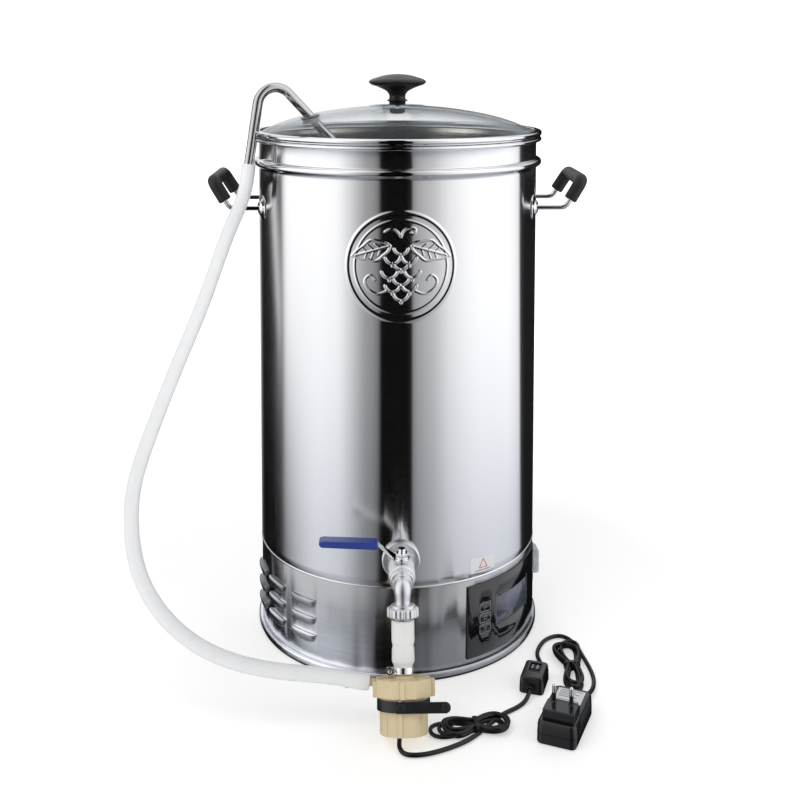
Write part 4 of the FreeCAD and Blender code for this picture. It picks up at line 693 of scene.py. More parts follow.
def louvre(az, zt):
    """A pressed hood with a flat top edge and steep ends."""
    n = 45
    P = np.zeros((n, 16, 3))
    for i, x in enumerate(20.3 * np.sin(np.linspace(-math.pi / 2, math.pi / 2, n))):
        k = max(0.0, 1 - abs(x / 20.3) ** 3.4) ** 0.5
        D, H = 6.25 * k, 12.3 * k
        e = min(0.6, D * 0.3)
        ring = [(-3.0, 0.0), (1.4 + (D - 1.4) * 0.22, 0.0), (D - e * 0.3, -e * 0.2), (D, -e)]
        ring += [(D * math.cos(t), -e - (H - e) * math.sin(t)) for t in np.linspace(0.12, math.pi / 2, 11)]
        ring += [(-3.0, -H)]
        P[i] = [(x, y, z) for y, z in ring]
    return tf(lattice(P, False, True), wall_frame(az, zt + 0.2) @ T(0, 173.4, 0))


hoods = make("louvre_hoods", [louvre(az, zt) for az in (-41.2, -58.7, -75.9) for zt in (82.8, 61.5, 40.5)],
             ["pressed", "lip", "shadow"], "kettle", angle=50, weighted=False)
# hood faces: tops reaching past the wall get the lip steel, except on the far-left column; other tops and the other
# faces of the two left columns get steel_in_shade, painted shade; the rest get the darker pressed copy, painted shade
for poly in hoods.data.polygons:
    c = poly.center * 1000
    reach = math.hypot(c.x, c.y)
    side = math.degrees(math.atan2(-c.x, -c.y))
    if poly.normal.z > 0.6:
        poly.material_index = 1 if reach > 175.4 and side < 66 else 2
    elif side > 50:
        poly.material_index = 2

# ------------------------------------------------------------------- handles
LY, LZ = 54.0, 538.5


def mirrored(m):
    v, f = m
    return V3(v) * np.array([-1, 1, 1]), [q[::-1] for q in f]


wire_path = corner_path([(168, -LY, LZ), (206, -LY, LZ), (226, -LY + 4, 571), (226, LY - 4, 571), (206, LY, LZ),
                         (168, LY, LZ)], [10, 9, 9, 10])
grip_path = even(corner_path([(211.5, -LY + 1.1, 547.57), (226, -LY + 4, 571), (226, LY - 4, 571),
                              (211.5, LY - 1.1, 547.57)], [9, 9], 24), 0.8)
gl = len(grip_path)
ends = np.minimum(np.arange(gl), np.arange(gl)[::-1]) * 0.8
grip_r = 8.0 - 0.9 * np.exp(-(ends / 0.7) ** 2)
wire = tube(even(wire_path, 1.2), 3.15, 28)
grip = tube(grip_path, grip_r, 36, bore=3.2)
for side, fn in (("right", lambda m: m), ("left", mirrored)):
    make("handle_wire_" + side, fn(wire), "bright", "kettle", ["handle_" + side], weighted=False)
    make("handle_grip_" + side, fn(grip), "rubber", "kettle", ["grip_" + side], angle=50,
         weighted=False)
ros = []
for sx in (1, -1):
    for sy in (1, -1):
        nx = math.sqrt(BODY_R ** 2 - LY ** 2)
        ux, uy = sx * nx / BODY_R, sy * LY / BODY_R
        prof = rounded([(3.3, -5.0), (15.2, -5.0), (15.5, 0.9), (14.2, 1.5), (9.6, 2.6), (7.4, 4.6), (6.6, 5.1),
                        (3.3, 5.1)], [0, 0, 0.5, 0.8, 2.4, 0.6, 0.5, 0], 4)
        ros.append(tf(rev(prof, 64), aim((ux * 174.6, uy * 174.6, LZ), (ux, uy, 0))))
make("handle_cones", ros, "bright", "kettle", ["handle_rosettes"])

# --------------------------------------------------------------------- the lid
glass_top = spline([(0, 661.9, 0), (20, 661.6, 0), (36, 660.5, 0), (54, 658.9, 0), (79, 655.9, 0), (104.6, 651.6, 0),
                    (130, 645.7, 0), (155, 637.1, 0), (168, 631.4, 0), (176, 628.2, 0)], 64)[:, :2]
glass_prof = np.vstack([glass_top[1:], [(176.4, 626.4)], (glass_top[1:] - np.array([0, 4.0]))[::-1]])
keep = glass_prof[:, 0] > 4.2
make("lid_glass_dome", rev(glass_prof[keep], 256), "glass", "lid", ["glass_lid"], angle=50,
     weighted=False)
band = rounded([(170.0, 623.5), (177.4, 623.5), (180.0, 625.0), (181.6, 627.2), (181.6, 629.6), (180.4, 631.2),
                (177.0, 631.8), (173.2, 631.6), (173.0, 630.4), (176.6, 628.6), (176.9, 624.6), (170.2, 624.3)],
               [0.3, 1.0, 1.6, 1.2, 1.2, 1.4, 1.0, 0.7, 0.5, 0.8, 0.3, 0.2], 5)
make("lid_steel_band", rev(band, 256), "mirror", "lid", ["lid_band"], angle=50, weighted=False)
knob_low = spline([(10.4, 670.2, 0), (10.1, 673.4, 0), (11.4, 676.6, 0), (14.2, 679.6, 0), (19.6, 682.6, 0),
                   (28.8, 686.2, 0), (34.8, 689.0, 0), (36.2, 691.0, 0)], 40)[:, :2]
knob_high = spline([(36.2, 691.6, 0), (34.6, 693.2, 0), (28.6, 695.9, 0), (17.0, 699.2, 0), (0, 700.9, 0)], 26)[:, :2]
ribs = rounded([(2.7, 662.4), (9.6, 662.4), (10.8, 662.9), (10.8, 663.5), (9.8, 664.0), (9.8, 664.4), (10.8, 664.9),
                (10.8, 665.5), (9.9, 666.0), (10.6, 666.5), (12.9, 666.9), (12.9, 668.4), (10.6, 669.0)],
               [0, 0.3, 0.4, 0.4, 0.2, 0.2, 0.4, 0.4, 0.2, 0.2, 0.6, 0.6, 0.5], 3, closed=False)
knob_prof = np.vstack([ribs, knob_low, knob_high, [(0, 684.0), (2.7, 684.0)]])
make("lid_knob_form", rev(knob_prof, 128), "black", "lid", ["lid_knob"], angle=50, weighted=False)
plate = rounded([(3.3, 662.0), (30.0, 661.2), (35.2, 661.0), (35.4, 661.7), (24.0, 662.5), (12.0, 663.2),
                 (3.3, 663.3)], 0.3, 3)
make("lid_knob_plate", [rev(plate, 96)], "veil", "lid", ["knob_washer"])

seat = rounded([(2.8, 651.0), (6.4, 651.0), (9.6, 652.4), (9.6, 655.2), (8.4, 655.6), (9.8, 656.0), (9.8, 657.5),
                (2.8, 657.5)], [0.3, 0.6, 0.6, 0.3, 0.3, 0.3, 0.3, 0], 3)
make("lid_knob_seat", [rev(seat, 64)], "black", "lid")

G = rad(22.5)
GU = np.array([-math.cos(G), -math.sin(G), 0.0])


def goose(rho, z):
    return GU * rho + np.array([0, 0, z])


gp = [goose(197.7, 577.5), goose(175.8, 711.3), goose(78.5, 610.2)]
goose_path = even(corner_path(gp, [22.3], 40), 1.5)
make("gooseneck_pipe", tube(goose_path, 6.0, 36, bore=5.0), "goose", "lid", ["recirculation_pipe"],
     angle=50, weighted=False)
n_in = GU * 0.226 + np.array([0, 0, 0.974])
n_in /= np.linalg.norm(n_in)
g_c = goose(116.2, 647.1)
gro = rounded([(6.4, -4.4), (11.4, -4.4), (11.8, -2.6), (10.2, -2.4), (10.2, 2.3), (12.2, 2.5), (11.8, 3.4),
               (9.0, 4.4), (6.4, 4.6)], [0.4, 0.8, 0.5, 0.3, 0.3, 0.4, 0.4, 0.6, 0.4], 4)
make("lid_grommet_ring", tf(rev(gro, 72), aim(g_c, n_in)), "seal", "lid", ["lid_grommet"])

# --------------------------------------------------------- recirculation hose
ML, HL = 37.0, 18.0
TOPZ = ML + HL
g_dir = (gp[1] - gp[0]) / np.linalg.norm(gp[1] - gp[0])
h_end = gp[0] + g_dir * 17.5
b0 = at(PP, -36.2, 13.0, ML + 12.0)
hose_pts = [b0, (-72.0, -262.6, 55.8), (-111.2, -263.5, 61.0), (-165.1, -262.2, 69.1), (-219.9, -252.9, 86.5),
            (-264.0, -236.8, 117.0), (-289.6, -221.2, 152.9), (-301.0, -205.0, 191.7), (-302.4, -186.0, 234.8),
            (-287.5, -164.0, 290.0), (-257.2, -137.0, 369.8), (-229.9, -117.0, 438.0), (-200.0, -92.0, 522.0),
            tuple(h_end - g_dir * 26 + np.array([0, 0, -1.5])), tuple(h_end)]
hose_path = even(spline(hose_pts, 1200, (-1, 0, 0.075), tuple(g_dir)), 3.0)
hs = np.arange(len(hose_path)) * 3.0
hose_r = np.interp(hs, [0, 1.5, 4.0, 18.0, 24.0, 1e4], [7.2, 8.2, 8.47, 8.47, 8.3, 8.3]) + np.interp(
    hs[-1] - hs, [0, 2, 5, 22, 30], [-0.5, 0.1, 0.17, 0.17, 0.0])
hose_obj = make("recirculation_tube", tube(hose_path, hose_r, 40, bore=5.3), "hose", None,
                ["recirculation_hose"], angle=50, weighted=False, ride=False)
hose_obj.visible_glossy = False
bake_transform(hose_obj)

# -------------------------------------------------------------------- the tap
TZ = 147.0


def on_tap(y):
    """Local +Z runs forward along -Y from this Y, on the tap's line."""
    return T(0, y, TZ) @ R(90, "X")


def hexa(flat, turn_deg=30):
    r = flat / math.cos(rad(30))
    return [(r * math.cos(rad(60 * i + turn_deg)), r * math.sin(rad(60 * i + turn_deg))) for i in range(6)]


wash = rounded([(10.7, 0.0), (22.0, 0.0), (22.0, 5.2), (20.6, 6.2), (10.7, 6.2)], [0, 0.6, 0.9, 0.8, 0.4], 4)
washer = make("tap_washer", tf(rev(wash, 96), on_tap(-174.4)), "cast", "kettle",
              ["outlet_washer"])
make("tap_nipple", [tf(prism(hexa(15.0), 0, 6.0, 0.7, 3), on_tap(-180.5)),
                    tf(rev(rounded([(7.6, 0), (10.4, 0), (10.4, 34.4), (7.6, 34.4)], 0.3, 2), 64), on_tap(-162.0))],
     "cast", "kettle", ["bulkhead_fitting"])
barrel = rounded([(7.6, 0.2), (12.4, 0.2), (12.9, 1.2), (12.9, 7.2), (14.9, 9.4), (14.9, 37.0), (13.4, 39.0), (13.4, 45.9),
                  (12.6, 46.9), (7.6, 46.9)], [0, 0.5, 0.6, 1.6, 1.8, 1.6, 0.8, 0.8, 0.4, 0], 4)
boss = rounded([(4.1, -2.0), (7.9, -2.0), (7.9, 10.6), (9.2, 11.4), (9.2, 13.2), (7.8, 14.2), (7.8, 15.5), (4.1, 15.5)],
               [0, 0, 1.0, 0.5, 0.5, 0.4, 0.5, 0], 3)
make("tap_body", [tf(prism(hexa(12.6), 0.1, 9.0, 0.7, 3), on_tap(-186.6)), tf(rev(barrel, 96), on_tap(-187.1)),
                  tf(rev(boss, 64), T(0, -211, TZ))], "cast", "kettle", ["valve_body"])
LV0 = TZ + 15.7
YZ = T(0, -211, 0) @ R(90, "X")
arm = [(-2.0, LV0), (-8.0, LV0), (-26.0, LV0 + 17.0), (-88.0, LV0 + 20.0), (-88.0, LV0 + 22.2), (-27.0, LV0 + 19.4),
       (-9.2, LV0 + 2.4), (-2.0, LV0 + 2.4)]
eye = rounded([(4.05, 0), (9.5, 0), (9.5, 2.4), (4.05, 2.4)], 0.4, 3)
make("tap_lever", [tf(prism(arm, -6.0, 6.0, 0.5, 2), YZ), tf(rev(eye, 64), T(0, -211, LV0))], "bright", "lever",
     ["valve_lever"])
SL = [(-26.5, LV0 + 15.2), (-30.0, LV0 + 14.6), (-60.0, LV0 + 15.9), (-90.0, LV0 + 17.6), (-92.5, LV0 + 20.5),
      (-92.0, LV0 + 24.0), (-88.0, LV0 + 25.0), (-60.0, LV0 + 23.8), (-30.0, LV0 + 22.4), (-26.5, LV0 + 21.6)]
sleeve = make("tap_lever_sleeve", [tf(prism(SL, -8.2, 8.2, 1.9, 5), YZ)], "blue", "lever",
              ["lever_sleeve"], angle=60)
sleeve.visible_glossy = False
lock = rounded([(4.0, 0), (6.9, 0.0), (7.4, 0.6), (7.4, 1.2), (4.0, 1.2)], 0.2, 2)
make("tap_lever_nut", [tf(prism(hexa(6.4), 1.0, 6.2, 0.5, 3), T(0, -211, LV0 + 2.4)),
                       tf(rev(lock, 48), T(0, -211, LV0 + 2.4))], "bright", "lever", ["lever_nut"])
elbow_line = corner_path([at(on_tap(-226.5), 0, 0, 0), (0, -246, 147), at(EL, 0, 0, -25.0)], [7.0], 16)
elbow_line = even(elbow_line, 0.8)
coll = rounded([(5.8, -0.4), (12.6, -0.4), (12.6, 1.6), (11.4, 5.0), (9.4, 9.0), (8.2, 9.4), (5.8, 9.4)],
               [0, 0.4, 0.5, 2.5, 1.0, 0.3, 0], 4)
run = np.r_[0, np.cumsum(np.linalg.norm(np.diff(elbow_line, axis=0), axis=1))]
el_r = np.interp(run, [0, 9.0, 15.0, 22.0, 31.0, 60.0], [11.4, 11.2, 10.7, 9.4, 8.3, 8.2])
make("tap_elbow", [tube(elbow_line, el_r, 48, bore=5.7), tf(rev(coll, 72), on_tap(-234.0))], "cast", "kettle",
     ["outlet_elbow"], angle=45)
nut_prof = []
for i in range(192):
    a = 2 * math.pi * i / 192
    t = (i % 12) / 12
    lob = 0.5 + 0.5 * math.cos(2 * math.pi * (t - 0.5))
    nut_prof.append((a, 16.4 + 1.1 * min(1.0, lob * 1.6)))
nz = [(-29.9, 0.93), (-29.5, 0.98), (-28.6, 1.0), (-22.0, 1.0), (-21.0, 0.985), (-20.4, 0.94)]
top_ring = [(13.6, -20.1), (13.2, -19.6), (13.2, -17.9), (12.6, -17.4), (8.15, -17.3)]
P = np.zeros((192, len(nz) + 2 + len(top_ring), 3))
for i, (a, rr) in enumerate(nut_prof):
    ring = [(8.15, -30.2), (14.6, -30.2)] + [(rr * s, z) for z, s in nz] + top_ring
    for j, (q, z) in enumerate(ring):
        P[i, j] = (q * math.cos(a), q * math.sin(a), z)
make("tap_union_nut", tf(lattice(P, True, True), EL), "cast", "union", ["union_nut"], angle=45)

# ------------------------------------------------- short hose, clamp and pump
d1 = turn(EL, 0, 0, -1)
d2 = turn(PP, 0, 0, -1)
a0, a1 = at(EL, 0, 0, -32.8), at(PP, 0, 0, TOPZ + 12.0)
mid = (a0 + a1) * 0.5 + np.array([0, 0.35, 0])
neck = at(PP, 0, 0, TOPZ + 3.3)
ph = even(spline([a0, mid, a1, neck], 300, tuple(d1), tuple(d2)), 0.5)
s = np.linspace(0, np.linalg.norm(np.diff(ph, axis=0), axis=1).sum(), len(ph))
L0 = s[-1]
ph_r = np.interp(s, [0, 0.8, 3, 21, 23.4, 26.0, 28.8, L0 - 13.5, L0 - 11.0, L0 - 9.4, L0 - 6, L0 - 1, L0],
                 [11.7, 12.2, 12.4, 12.4, 12.1, 11.1, 12.0, 12.3, 11.4, 10.2, 9.9, 9.9, 9.5])
kern = np.exp(-np.linspace(-2, 2, 9) ** 2)
ph_r = np.convolve(np.pad(ph_r, 4, mode="edge"), kern / kern.sum(), "valid")
make("pump_hose_tube", tube(ph, ph_r, 56, bore=8.55), "white", "kettle", ["pump_hose"], angle=60,
     weighted=False)
cl = rounded([(9.95, TOPZ + 3.9), (11.0, TOPZ + 3.9), (11.2, TOPZ + 4.2), (11.2, TOPZ + 10.4), (11.0, TOPZ + 10.7),
              (9.95, TOPZ + 10.7)], 0.25, 2)
teeth = [tf(block(-0.35, 0.35, 11.0, 11.35, TOPZ + 5.0, TOPZ + 9.6, 0.1, 1), R(8.0 * k - 100, "Z")) for k in range(26)]
make("clamp_band", [tf(m, PP) for m in [
    rev(cl, 80), block(-17.4, -10.8, -4.8, 4.0, TOPZ + 3.7, TOPZ + 10.9, 0.8),
    tf(rev(rounded([(0, 0), (2.6, 0), (2.6, 15), (0, 15)], [0, .3, .3, 0], 2), 32),
       T(-14.6, 6.5, TOPZ + 7.3) @ R(90, "X")),
    tf(rev(rounded([(0, 0), (4.0, 0), (4.0, 3.0), (2.2, 3.0), (2.0, 1.9), (0, 1.9)], 0.3, 2), 32),
       T(-14.6, -8.2, TOPZ + 7.3) @ R(90, "X"))] + teeth], "bright", "kettle", ["hose_clamp"])
oct8 = [(29.0 / math.cos(rad(22.5)) * math.cos(rad(45 * i + 22.5)),
         29.0 / math.cos(rad(22.5)) * math.sin(rad(45 * i + 22.5))) for i in range(8)]
head = [prism(oct8, ML + 0.1, ML + HL, 1.0, 4),
        block(28.0, 33.5, -7, 7, ML + 0.1, ML + HL - 1, 1.0), block(-33.0, -28.0, -12, 0, ML + 0.1, ML + HL - 2, 1.0),
        block(-4.5, 0.5, -31.0, -27.0, ML + 0.1, ML + HL - 0.6, 0.7),
        block(-2.5, 2.5, 27.0, 31.5, ML + 0.1, ML + HL - 0.6, 0.7),
        rev(rounded([(0, TOPZ - 1), (12.4, TOPZ - 1), (12.0, TOPZ + 0.4), (8.4, TOPZ + 2.8), (7.0, TOPZ + 3.4),
                     (7.0, TOPZ + 16), (5.0, TOPZ + 16), (5.0, TOPZ - 1)], [0, 0.3, 0.8, 1.5, 0.5, 0.5, 0.3, 0], 3), 64),
        tf(rev(rounded([(2.7, 0), (4.0, 0), (4.0, 28.4), (5.5, 29.4), (5.5, 52.0), (4.8, 53.0), (2.7, 53.0)],
                       [0, 0, 0.4, 0.5, 0.7, 0.5, 0], 3), 40), T(-10.0, 13.0, ML + 12.0) @ R(-90, "Y"))]
for k in range(4):
    q = 45 * k * 2 + 22.5 + 22.5
    c, sn = 25.5 * math.cos(rad(q)), 25.5 * math.sin(rad(q))
    head.append(tf(rev(rounded([(0, 0), (2.6, 0), (2.6, 0.9), (1.2, 1.1), (1.0, 0.5), (0, 0.5)], 0.15, 2), 24),
                   T(c, sn, TOPZ - 0.2)))
make("pump_head_shell", [tf(m, PP) for m in head], "tan", "kettle", ["pump_head"], angle=42)
can = rounded([(0, 0.05), (24.2, 0.05), (25.0, 0.9), (25.9, ML - 1.6), (26.6, ML - 1.2), (26.6, ML - 0.1), (0, ML - 0.1)],
              [0, 0.8, 0.8, 0.3, 0.2, 0.2, 0], 3)
motor = [rev(can, 96), block(-6.5, -2.0, -27.6, -22.6, 1.0, ML - 0.3, 0.7), block(-3.0, 3.0, 22.2, 27.2, 1.0, ML - 0.3, 0.7)]
for k in range(12):
    if k in (8, 9, 3):
        continue
    motor.append(tf(block(25.0, 26.1, -0.6, 0.6, 2.0, 22.0, 0.25, 2), R(30 * k + 15, "Z")))
make("pump_motor_can", [tf(m, PP) for m in motor], "tan", "kettle", ["pump_housing"], angle=42)
ringp = rounded([(26.05, 24.1), (28.2, 24.1), (28.4, 24.4), (28.4, 34.6), (28.2, 34.9), (26.05, 34.9)], 0.3, 2)
flat = [(-3.0, 24.1), (43.0, 24.1)] + [(43 + 5.4 * math.cos(t), 29.5 + 5.4 * math.sin(t)) for t in
                                       np.linspace(-1.45, 1.45, 15)] + [(43.0, 34.9), (-3.0, 34.9)]


def plate_with_hole(outline, c, r, y0, y1, n=32):
    """A flat plate with a round hole, in (x, z), between two depths."""
    hole = [(c[0] + r * math.cos(2 * math.pi * k / n), c[1] + r * math.sin(2 * math.pi * k / n)) for k in range(n)]
    bm = bmesh.new()
    o = [bm.verts.new((p[0], y0, p[1])) for p in outline]
    h = [bm.verts.new((p[0], y0, p[1])) for p in hole]
    es = [bm.edges.new((o[i], o[(i + 1) % len(o)])) for i in range(len(o))]
    es += [bm.edges.new((h[i], h[(i + 1) % n])) for i in range(n)]
    bmesh.ops.triangle_fill(bm, use_beauty=True, use_dissolve=False, edges=es)
    faces = [f for f in bm.faces]
    r0 = bmesh.ops.extrude_face_region(bm, geom=faces)
    for v in r0["geom"]:
        if isinstance(v, bmesh.types.BMVert):
            v.co.y = y1
    bmesh.ops.recalc_face_normals(bm, faces=bm.faces)
    return from_bm(bm)


make("pump_strap_band", [tf(m, PP) for m in [
    rev(ringp, 96), plate_with_hole(flat, (43.0, 29.5), 2.2, -30.5, -28.3), block(-9.0, 1.5, -30.6, -27.9, 24.0, 35.0, 0.8)]],
     "black", "kettle", ["pump_strap"], angle=42)
screw = rounded([(0, 0), (4.3, 0), (4.3, 1.4), (3.4, 2.2), (1.5, 2.3), (1.3, 1.4), (0, 1.4)], [0, 0.3, 0.5, 0.5, 0.2, 0.2, 0], 3)
make("pump_strap_screws", [tf(tf(rev(screw, 32), T(cx, y, 29.5) @ R(90, "X")), PP) for cx, y in
                           ((43.0, -29.6), (-3.6, -30.2))], "rubber", "kettle", angle=42)

# ------------------------------------------------------------- cable and coils
CR = 2.45
CZ = 3.0
c0 = at(PP, -5.0, -17.0, 0.6)
run_a = [c0, (-4.8, -310.0, 4.4), (-1.0, -317.0, CZ), (10.0, -321.0, CZ), (26.0, -318.5, CZ),
         (48.0, -309.0, CZ), (68.0, -296.0, CZ), (92.0, -270.0, CZ), (112.0, -248.0, CZ),
         at(ISW, -1.0, -36.0, 5.0), at(ISW, 0, -26.0, 8.0), at(ISW, 0, -17.5, 8.0)]
run_b = [at(ISW, 0, 17.5, 8.0), at(ISW, 0, 26.0, 8.0), at(ISW, 0.5, 38.0, 5.0), (166.0, -128.0, CZ),
         (173.0, -103.0, CZ), (186.0, -86.0, CZ), (201.0, -80.9, CZ), (214.0, -96.0, CZ), (219.5, -122.0, CZ),
         (223.0, -150.0, CZ), (223.5, -182.0, CZ), (216.0, -208.0, 5.0), at(AD, 10.0, 47.0, 9.0),
         at(AD, 10.0, 36.5, 9.0)]
cable = [tube(even(spline(run_a, 600, tuple(turn(PP, 0, -6, -14)), tuple(turn(ISW, 0, 1, 0))), 1.6), CR, 18),
         tube(even(spline(run_b, 800, tuple(turn(ISW, 0, 1, 0)), tuple(turn(AD, 0, -1, 0))), 1.6), CR, 18)]


def coil(c, axis, turns):
    """Spare cable folded into loops and tied in the middle.

    A turn is (reach back, half width back, sideways back, reach front, half width front, sideways front,
    strand offset, height, crossed)."""
    c = np.array(c, float)
    u = np.array(axis, float) / np.linalg.norm(axis)
    v = np.array([-u[1], u[0]])
    out = []
    for k, (eb, wb, sb, ef, wf, sf, g, z, crossed) in enumerate(turns):
        t = np.linspace(0, 2 * math.pi, 160, endpoint=False)
        front = np.cos(t) > 0
        e, wd, sh = np.where(front, ef, eb), np.where(front, wf, wb), np.where(front, sf, sb)
        lobe = np.abs(np.sin(2 * t)) ** 0.85
        across = np.sign(np.sin(t)) * (abs(g) * np.abs(np.sin(t)) ** 0.5 + np.maximum(wd - abs(g), 0) * lobe)
        if crossed:
            across = across * np.where(front, 1, -1)
        far = np.abs(np.cos(t))
        along = e * np.cos(t)
        side = across + sh * far ** 1.3
        height = z + (0.9 * np.sin(t * 2 + k) + 0.5 * np.sin(3 * t + 2 * k)) * far
        if crossed:
            height = height + 1.6 * np.sin(t) * (1 - far) ** 2
        xy = c + along[:, None] * u + side[:, None] * v
        pts = np.c_[xy, np.clip(height, 2.45, 9.4)]
        closed = even(np.vstack([pts, pts[:1]]), 1.5)[:-1]
        for _ in range(10):
            closed = (np.roll(closed, 1, 0) + closed * 2 + np.roll(closed, -1, 0)) / 4
        out.append(tube(closed, 2.2, 16, loop=True))
    return out


cable += coil((78.5, -273.0), (0.989, 0.150), [
    (50.0, 13.5, 1.5, 31.0, 11.0, -1.0, 3.2, 2.6, False), (41.0, 12.5, -1.0, 35.0, 15.0, 1.5, 5.0, 4.6, False),
    (36.0, 15.0, 0.5, 36.5, 12.5, 2.5, 1.6, 6.6, True), (33.0, 10.0, 2.5, 33.0, 16.5, -2.5, 4.0, 8.4, False),
    (29.0, 14.0, -2.5, 28.0, 9.0, 3.0, 2.4, 3.6, True)])
cable += coil((203.0, -155.0), (0.05, 0.999), [
    (49.0, 8.5, 1.5, 55.0, 13.5, 1.0, 3.0, 2.6, False), (46.0, 10.0, 4.5, 50.0, 15.5, 4.0, 4.6, 4.8, False),
    (50.0, 7.0, 3.0, 53.0, 11.0, -2.5, 1.6, 7.0, True), (43.0, 9.5, 1.0, 45.0, 14.5, 6.0, 3.6, 8.6, False),
    (47.0, 6.0, 5.0, 48.0, 9.0, 1.5, 2.0, 3.8, True)])
cable = [(np.c_[V3(v)[:, :2], np.maximum(V3(v)[:, 2], 0.15)], f) for v, f in cable]
make("pump_cable_run", cable, "cable", "kettle", ["pump_cable"], angle=60, weighted=False)
tie = lambda half: rounded([(half + 6.0, 0.2), (half + 6.0, 11.2), (-half - 6.0, 11.2), (-half - 6.0, 0.2)], 3.4, 6)


def tie_loop(cx, cy, deg, half):
    inner = rounded([(half + 4.9, 1.1), (half + 4.9, 10.2), (-half - 4.9, 10.2), (-half - 4.9, 1.1)], 2.8, 6)
    o = np.array(tie(half))
    P = np.zeros((len(o), 4, 3))
    for i in range(len(o)):
        P[i, 0] = (o[i, 0], -2.3, o[i, 1])
        P[i, 1] = (o[i, 0], 2.3, o[i, 1])
        P[i, 2] = (inner[i, 0], 2.3, inner[i, 1])
        P[i, 3] = (inner[i, 0], -2.3, inner[i, 1])
    return tf(lattice(P, True, True), T(cx, cy, 0) @ R(deg, "Z"))


make("cable_ties", [tie_loop(78.5, -273.0, 98.6, 4.2), tie_loop(203.0, -155.0, 2.9, 3.6)], "black", "kettle",
     angle=40)

# ------------------------------------------------- inline switch and adapter


def tapered(x, y, z0, z1, top_x, top_y, r, seg=4, well=None):
    """A case a little smaller at its top, with rounded edges."""
    bm = bmesh.new()
    lo = [bm.verts.new(p) for p in ((-x, -y, z0), (x, -y, z0), (x, y, z0), (-x, y, z0))]
    md = [bm.verts.new(p) for p in ((-x, -y, z0 + (z1 - z0) * 0.45), (x, -y, z0 + (z1 - z0) * 0.45),
                                    (x, y, z0 + (z1 - z0) * 0.45), (-x, y, z0 + (z1 - z0) * 0.45))]
    hi = [bm.verts.new(p) for p in ((-top_x, -top_y, z1), (top_x, -top_y, z1), (top_x, top_y, z1), (-top_x, top_y, z1))]
    bm.faces.new(lo[::-1])
    bm.faces.new(hi)
    for a, b in ((lo, md), (md, hi)):
        for i in range(4):
            k = (i + 1) % 4
            bm.faces.new((a[i], a[k], b[k], b[i]))
    bmesh.ops.bevel(bm, geom=[e for e in bm.edges if e.calc_face_angle(0) > rad(20)], offset=r, segments=seg,
                    profile=0.5, affect="EDGES", clamp_overlap=True)
    return from_bm(bm)


def soft_case(levels, seg=7):
    """A case from rounded outlines (z, half x, half y, corner, centre y), closed at both ends."""
    P = np.array([[(x, y + cy, z) for x, y in rounded([(-hx, -hy), (hx, -hy), (hx, hy), (-hx, hy)], r, seg)]
                  for z, hx, hy, r, cy in levels])
    v, f = lattice(P, False, True)
    n = P.shape[1]
    last = (P.shape[0] - 1) * n
    return v, list(f) + [tuple(range(n))[::-1], tuple(range(last, last + n))]


ISR = ISW @ T(0, 4.5, 15.0) @ R(-7.0, "X")
isw = [soft_case([(0.1, 12.6, 19.1, 4.2, 0), (0.5, 13.5, 20.0, 4.8, 0), (1.6, 14.0, 20.5, 5.0, 0), (11, 13.8, 20.3, 5.0, 0),
                  (17.0, 13.2, 19.7, 4.8, 0), (18.9, 12.6, 19.1, 4.5, 0), (19.7, 11.8, 18.3, 4.0, 0),
                  (20.0, 10.8, 17.3, 3.5, 0), (20.0, 7.9, 10.6, 1.6, 4.5), (20.45, 7.6, 10.3, 1.4, 4.5),
                  (20.45, 6.5, 9.0, 0.8, 4.5), (20.2, 6.2, 8.7, 0.7, 4.5), (12.0, 6.2, 8.7, 0.7, 4.5)]),
       tf(rev(rounded([(2.9, 0), (4.6, 0), (4.0, 5.5), (3.6, 6.0), (2.9, 6.0)], 0.4, 3), 32),
          T(0, -20.2, 8.0) @ R(90, "X")),
       tf(rev(rounded([(2.9, 0), (4.6, 0), (4.0, 5.5), (3.6, 6.0), (2.9, 6.0)], 0.4, 3), 32),
          T(0, 20.2, 8.0) @ R(-90, "X"))]
make("cable_switch_case", [tf(m, ISW) for m in isw], "shiny", "kettle",
     ["inline_switch_case"], angle=42)
marks = []
for x0, x1 in ((-4.5, -2.1), (0.9, 3.9)):
    P = np.zeros((9, 4, 3))
    for i, y in enumerate(np.linspace(-2.6, 6.4, 9)):
        z = 29.6 - math.sqrt(26.0 ** 2 - y * y)
        P[i] = [(x0, y, z - 0.2), (x1, y, z - 0.2), (x1, y, z + 0.16), (x0, y, z + 0.16)]
    v, f = lattice(P, False, True)
    marks.append(tf((v, f + [(3, 2, 1, 0), (32, 33, 34, 35)]), ISR))
make("cable_switch_marks", marks, "mark", "cable_rocker")

wedge = [(-33.0, 24.4), (-7.0, 24.4), (-7.0, 33.2), (-11.0, 36.0), (-33.0, 36.0)]
case = [soft_case([(0.1, 19.8, 37.8, 5.5, 0), (0.6, 20.8, 38.8, 6.3, 0), (1.8, 21.5, 39.5, 7.0, 0),
                   (11.6, 21.5, 39.5, 7.0, 0), (11.7, 21.1, 39.1, 6.8, 0), (12.3, 21.1, 39.1, 6.8, 0),
                   (12.4, 21.4, 39.4, 7.0, 0), (22.0, 20.9, 38.9, 6.8, 0), (24.0, 20.1, 38.1, 6.3, 0),
                   (24.8, 18.9, 36.9, 5.4, 0), (25.0, 17.4, 35.4, 4.5, 0)]),
        tf(prism([(y, z) for y, z in wedge], -16.5, 18.5, 1.5, 4), np.array([[0, 0, 1, 0], [1, 0, 0, 0], [0, 1, 0, 0],
                                                                        [0, 0, 0, 1]], float)),
        block(-13.5, 15.5, -8.0, -3.0, 24.6, 33.0, 1.2, 3),
        tf(rev(rounded([(2.9, 0), (5.0, 0), (4.2, 6.5), (3.7, 7.0), (2.9, 7.0)], 0.4, 3), 32),
           T(10.0, 39.2, 9.0) @ R(-90, "X"))]
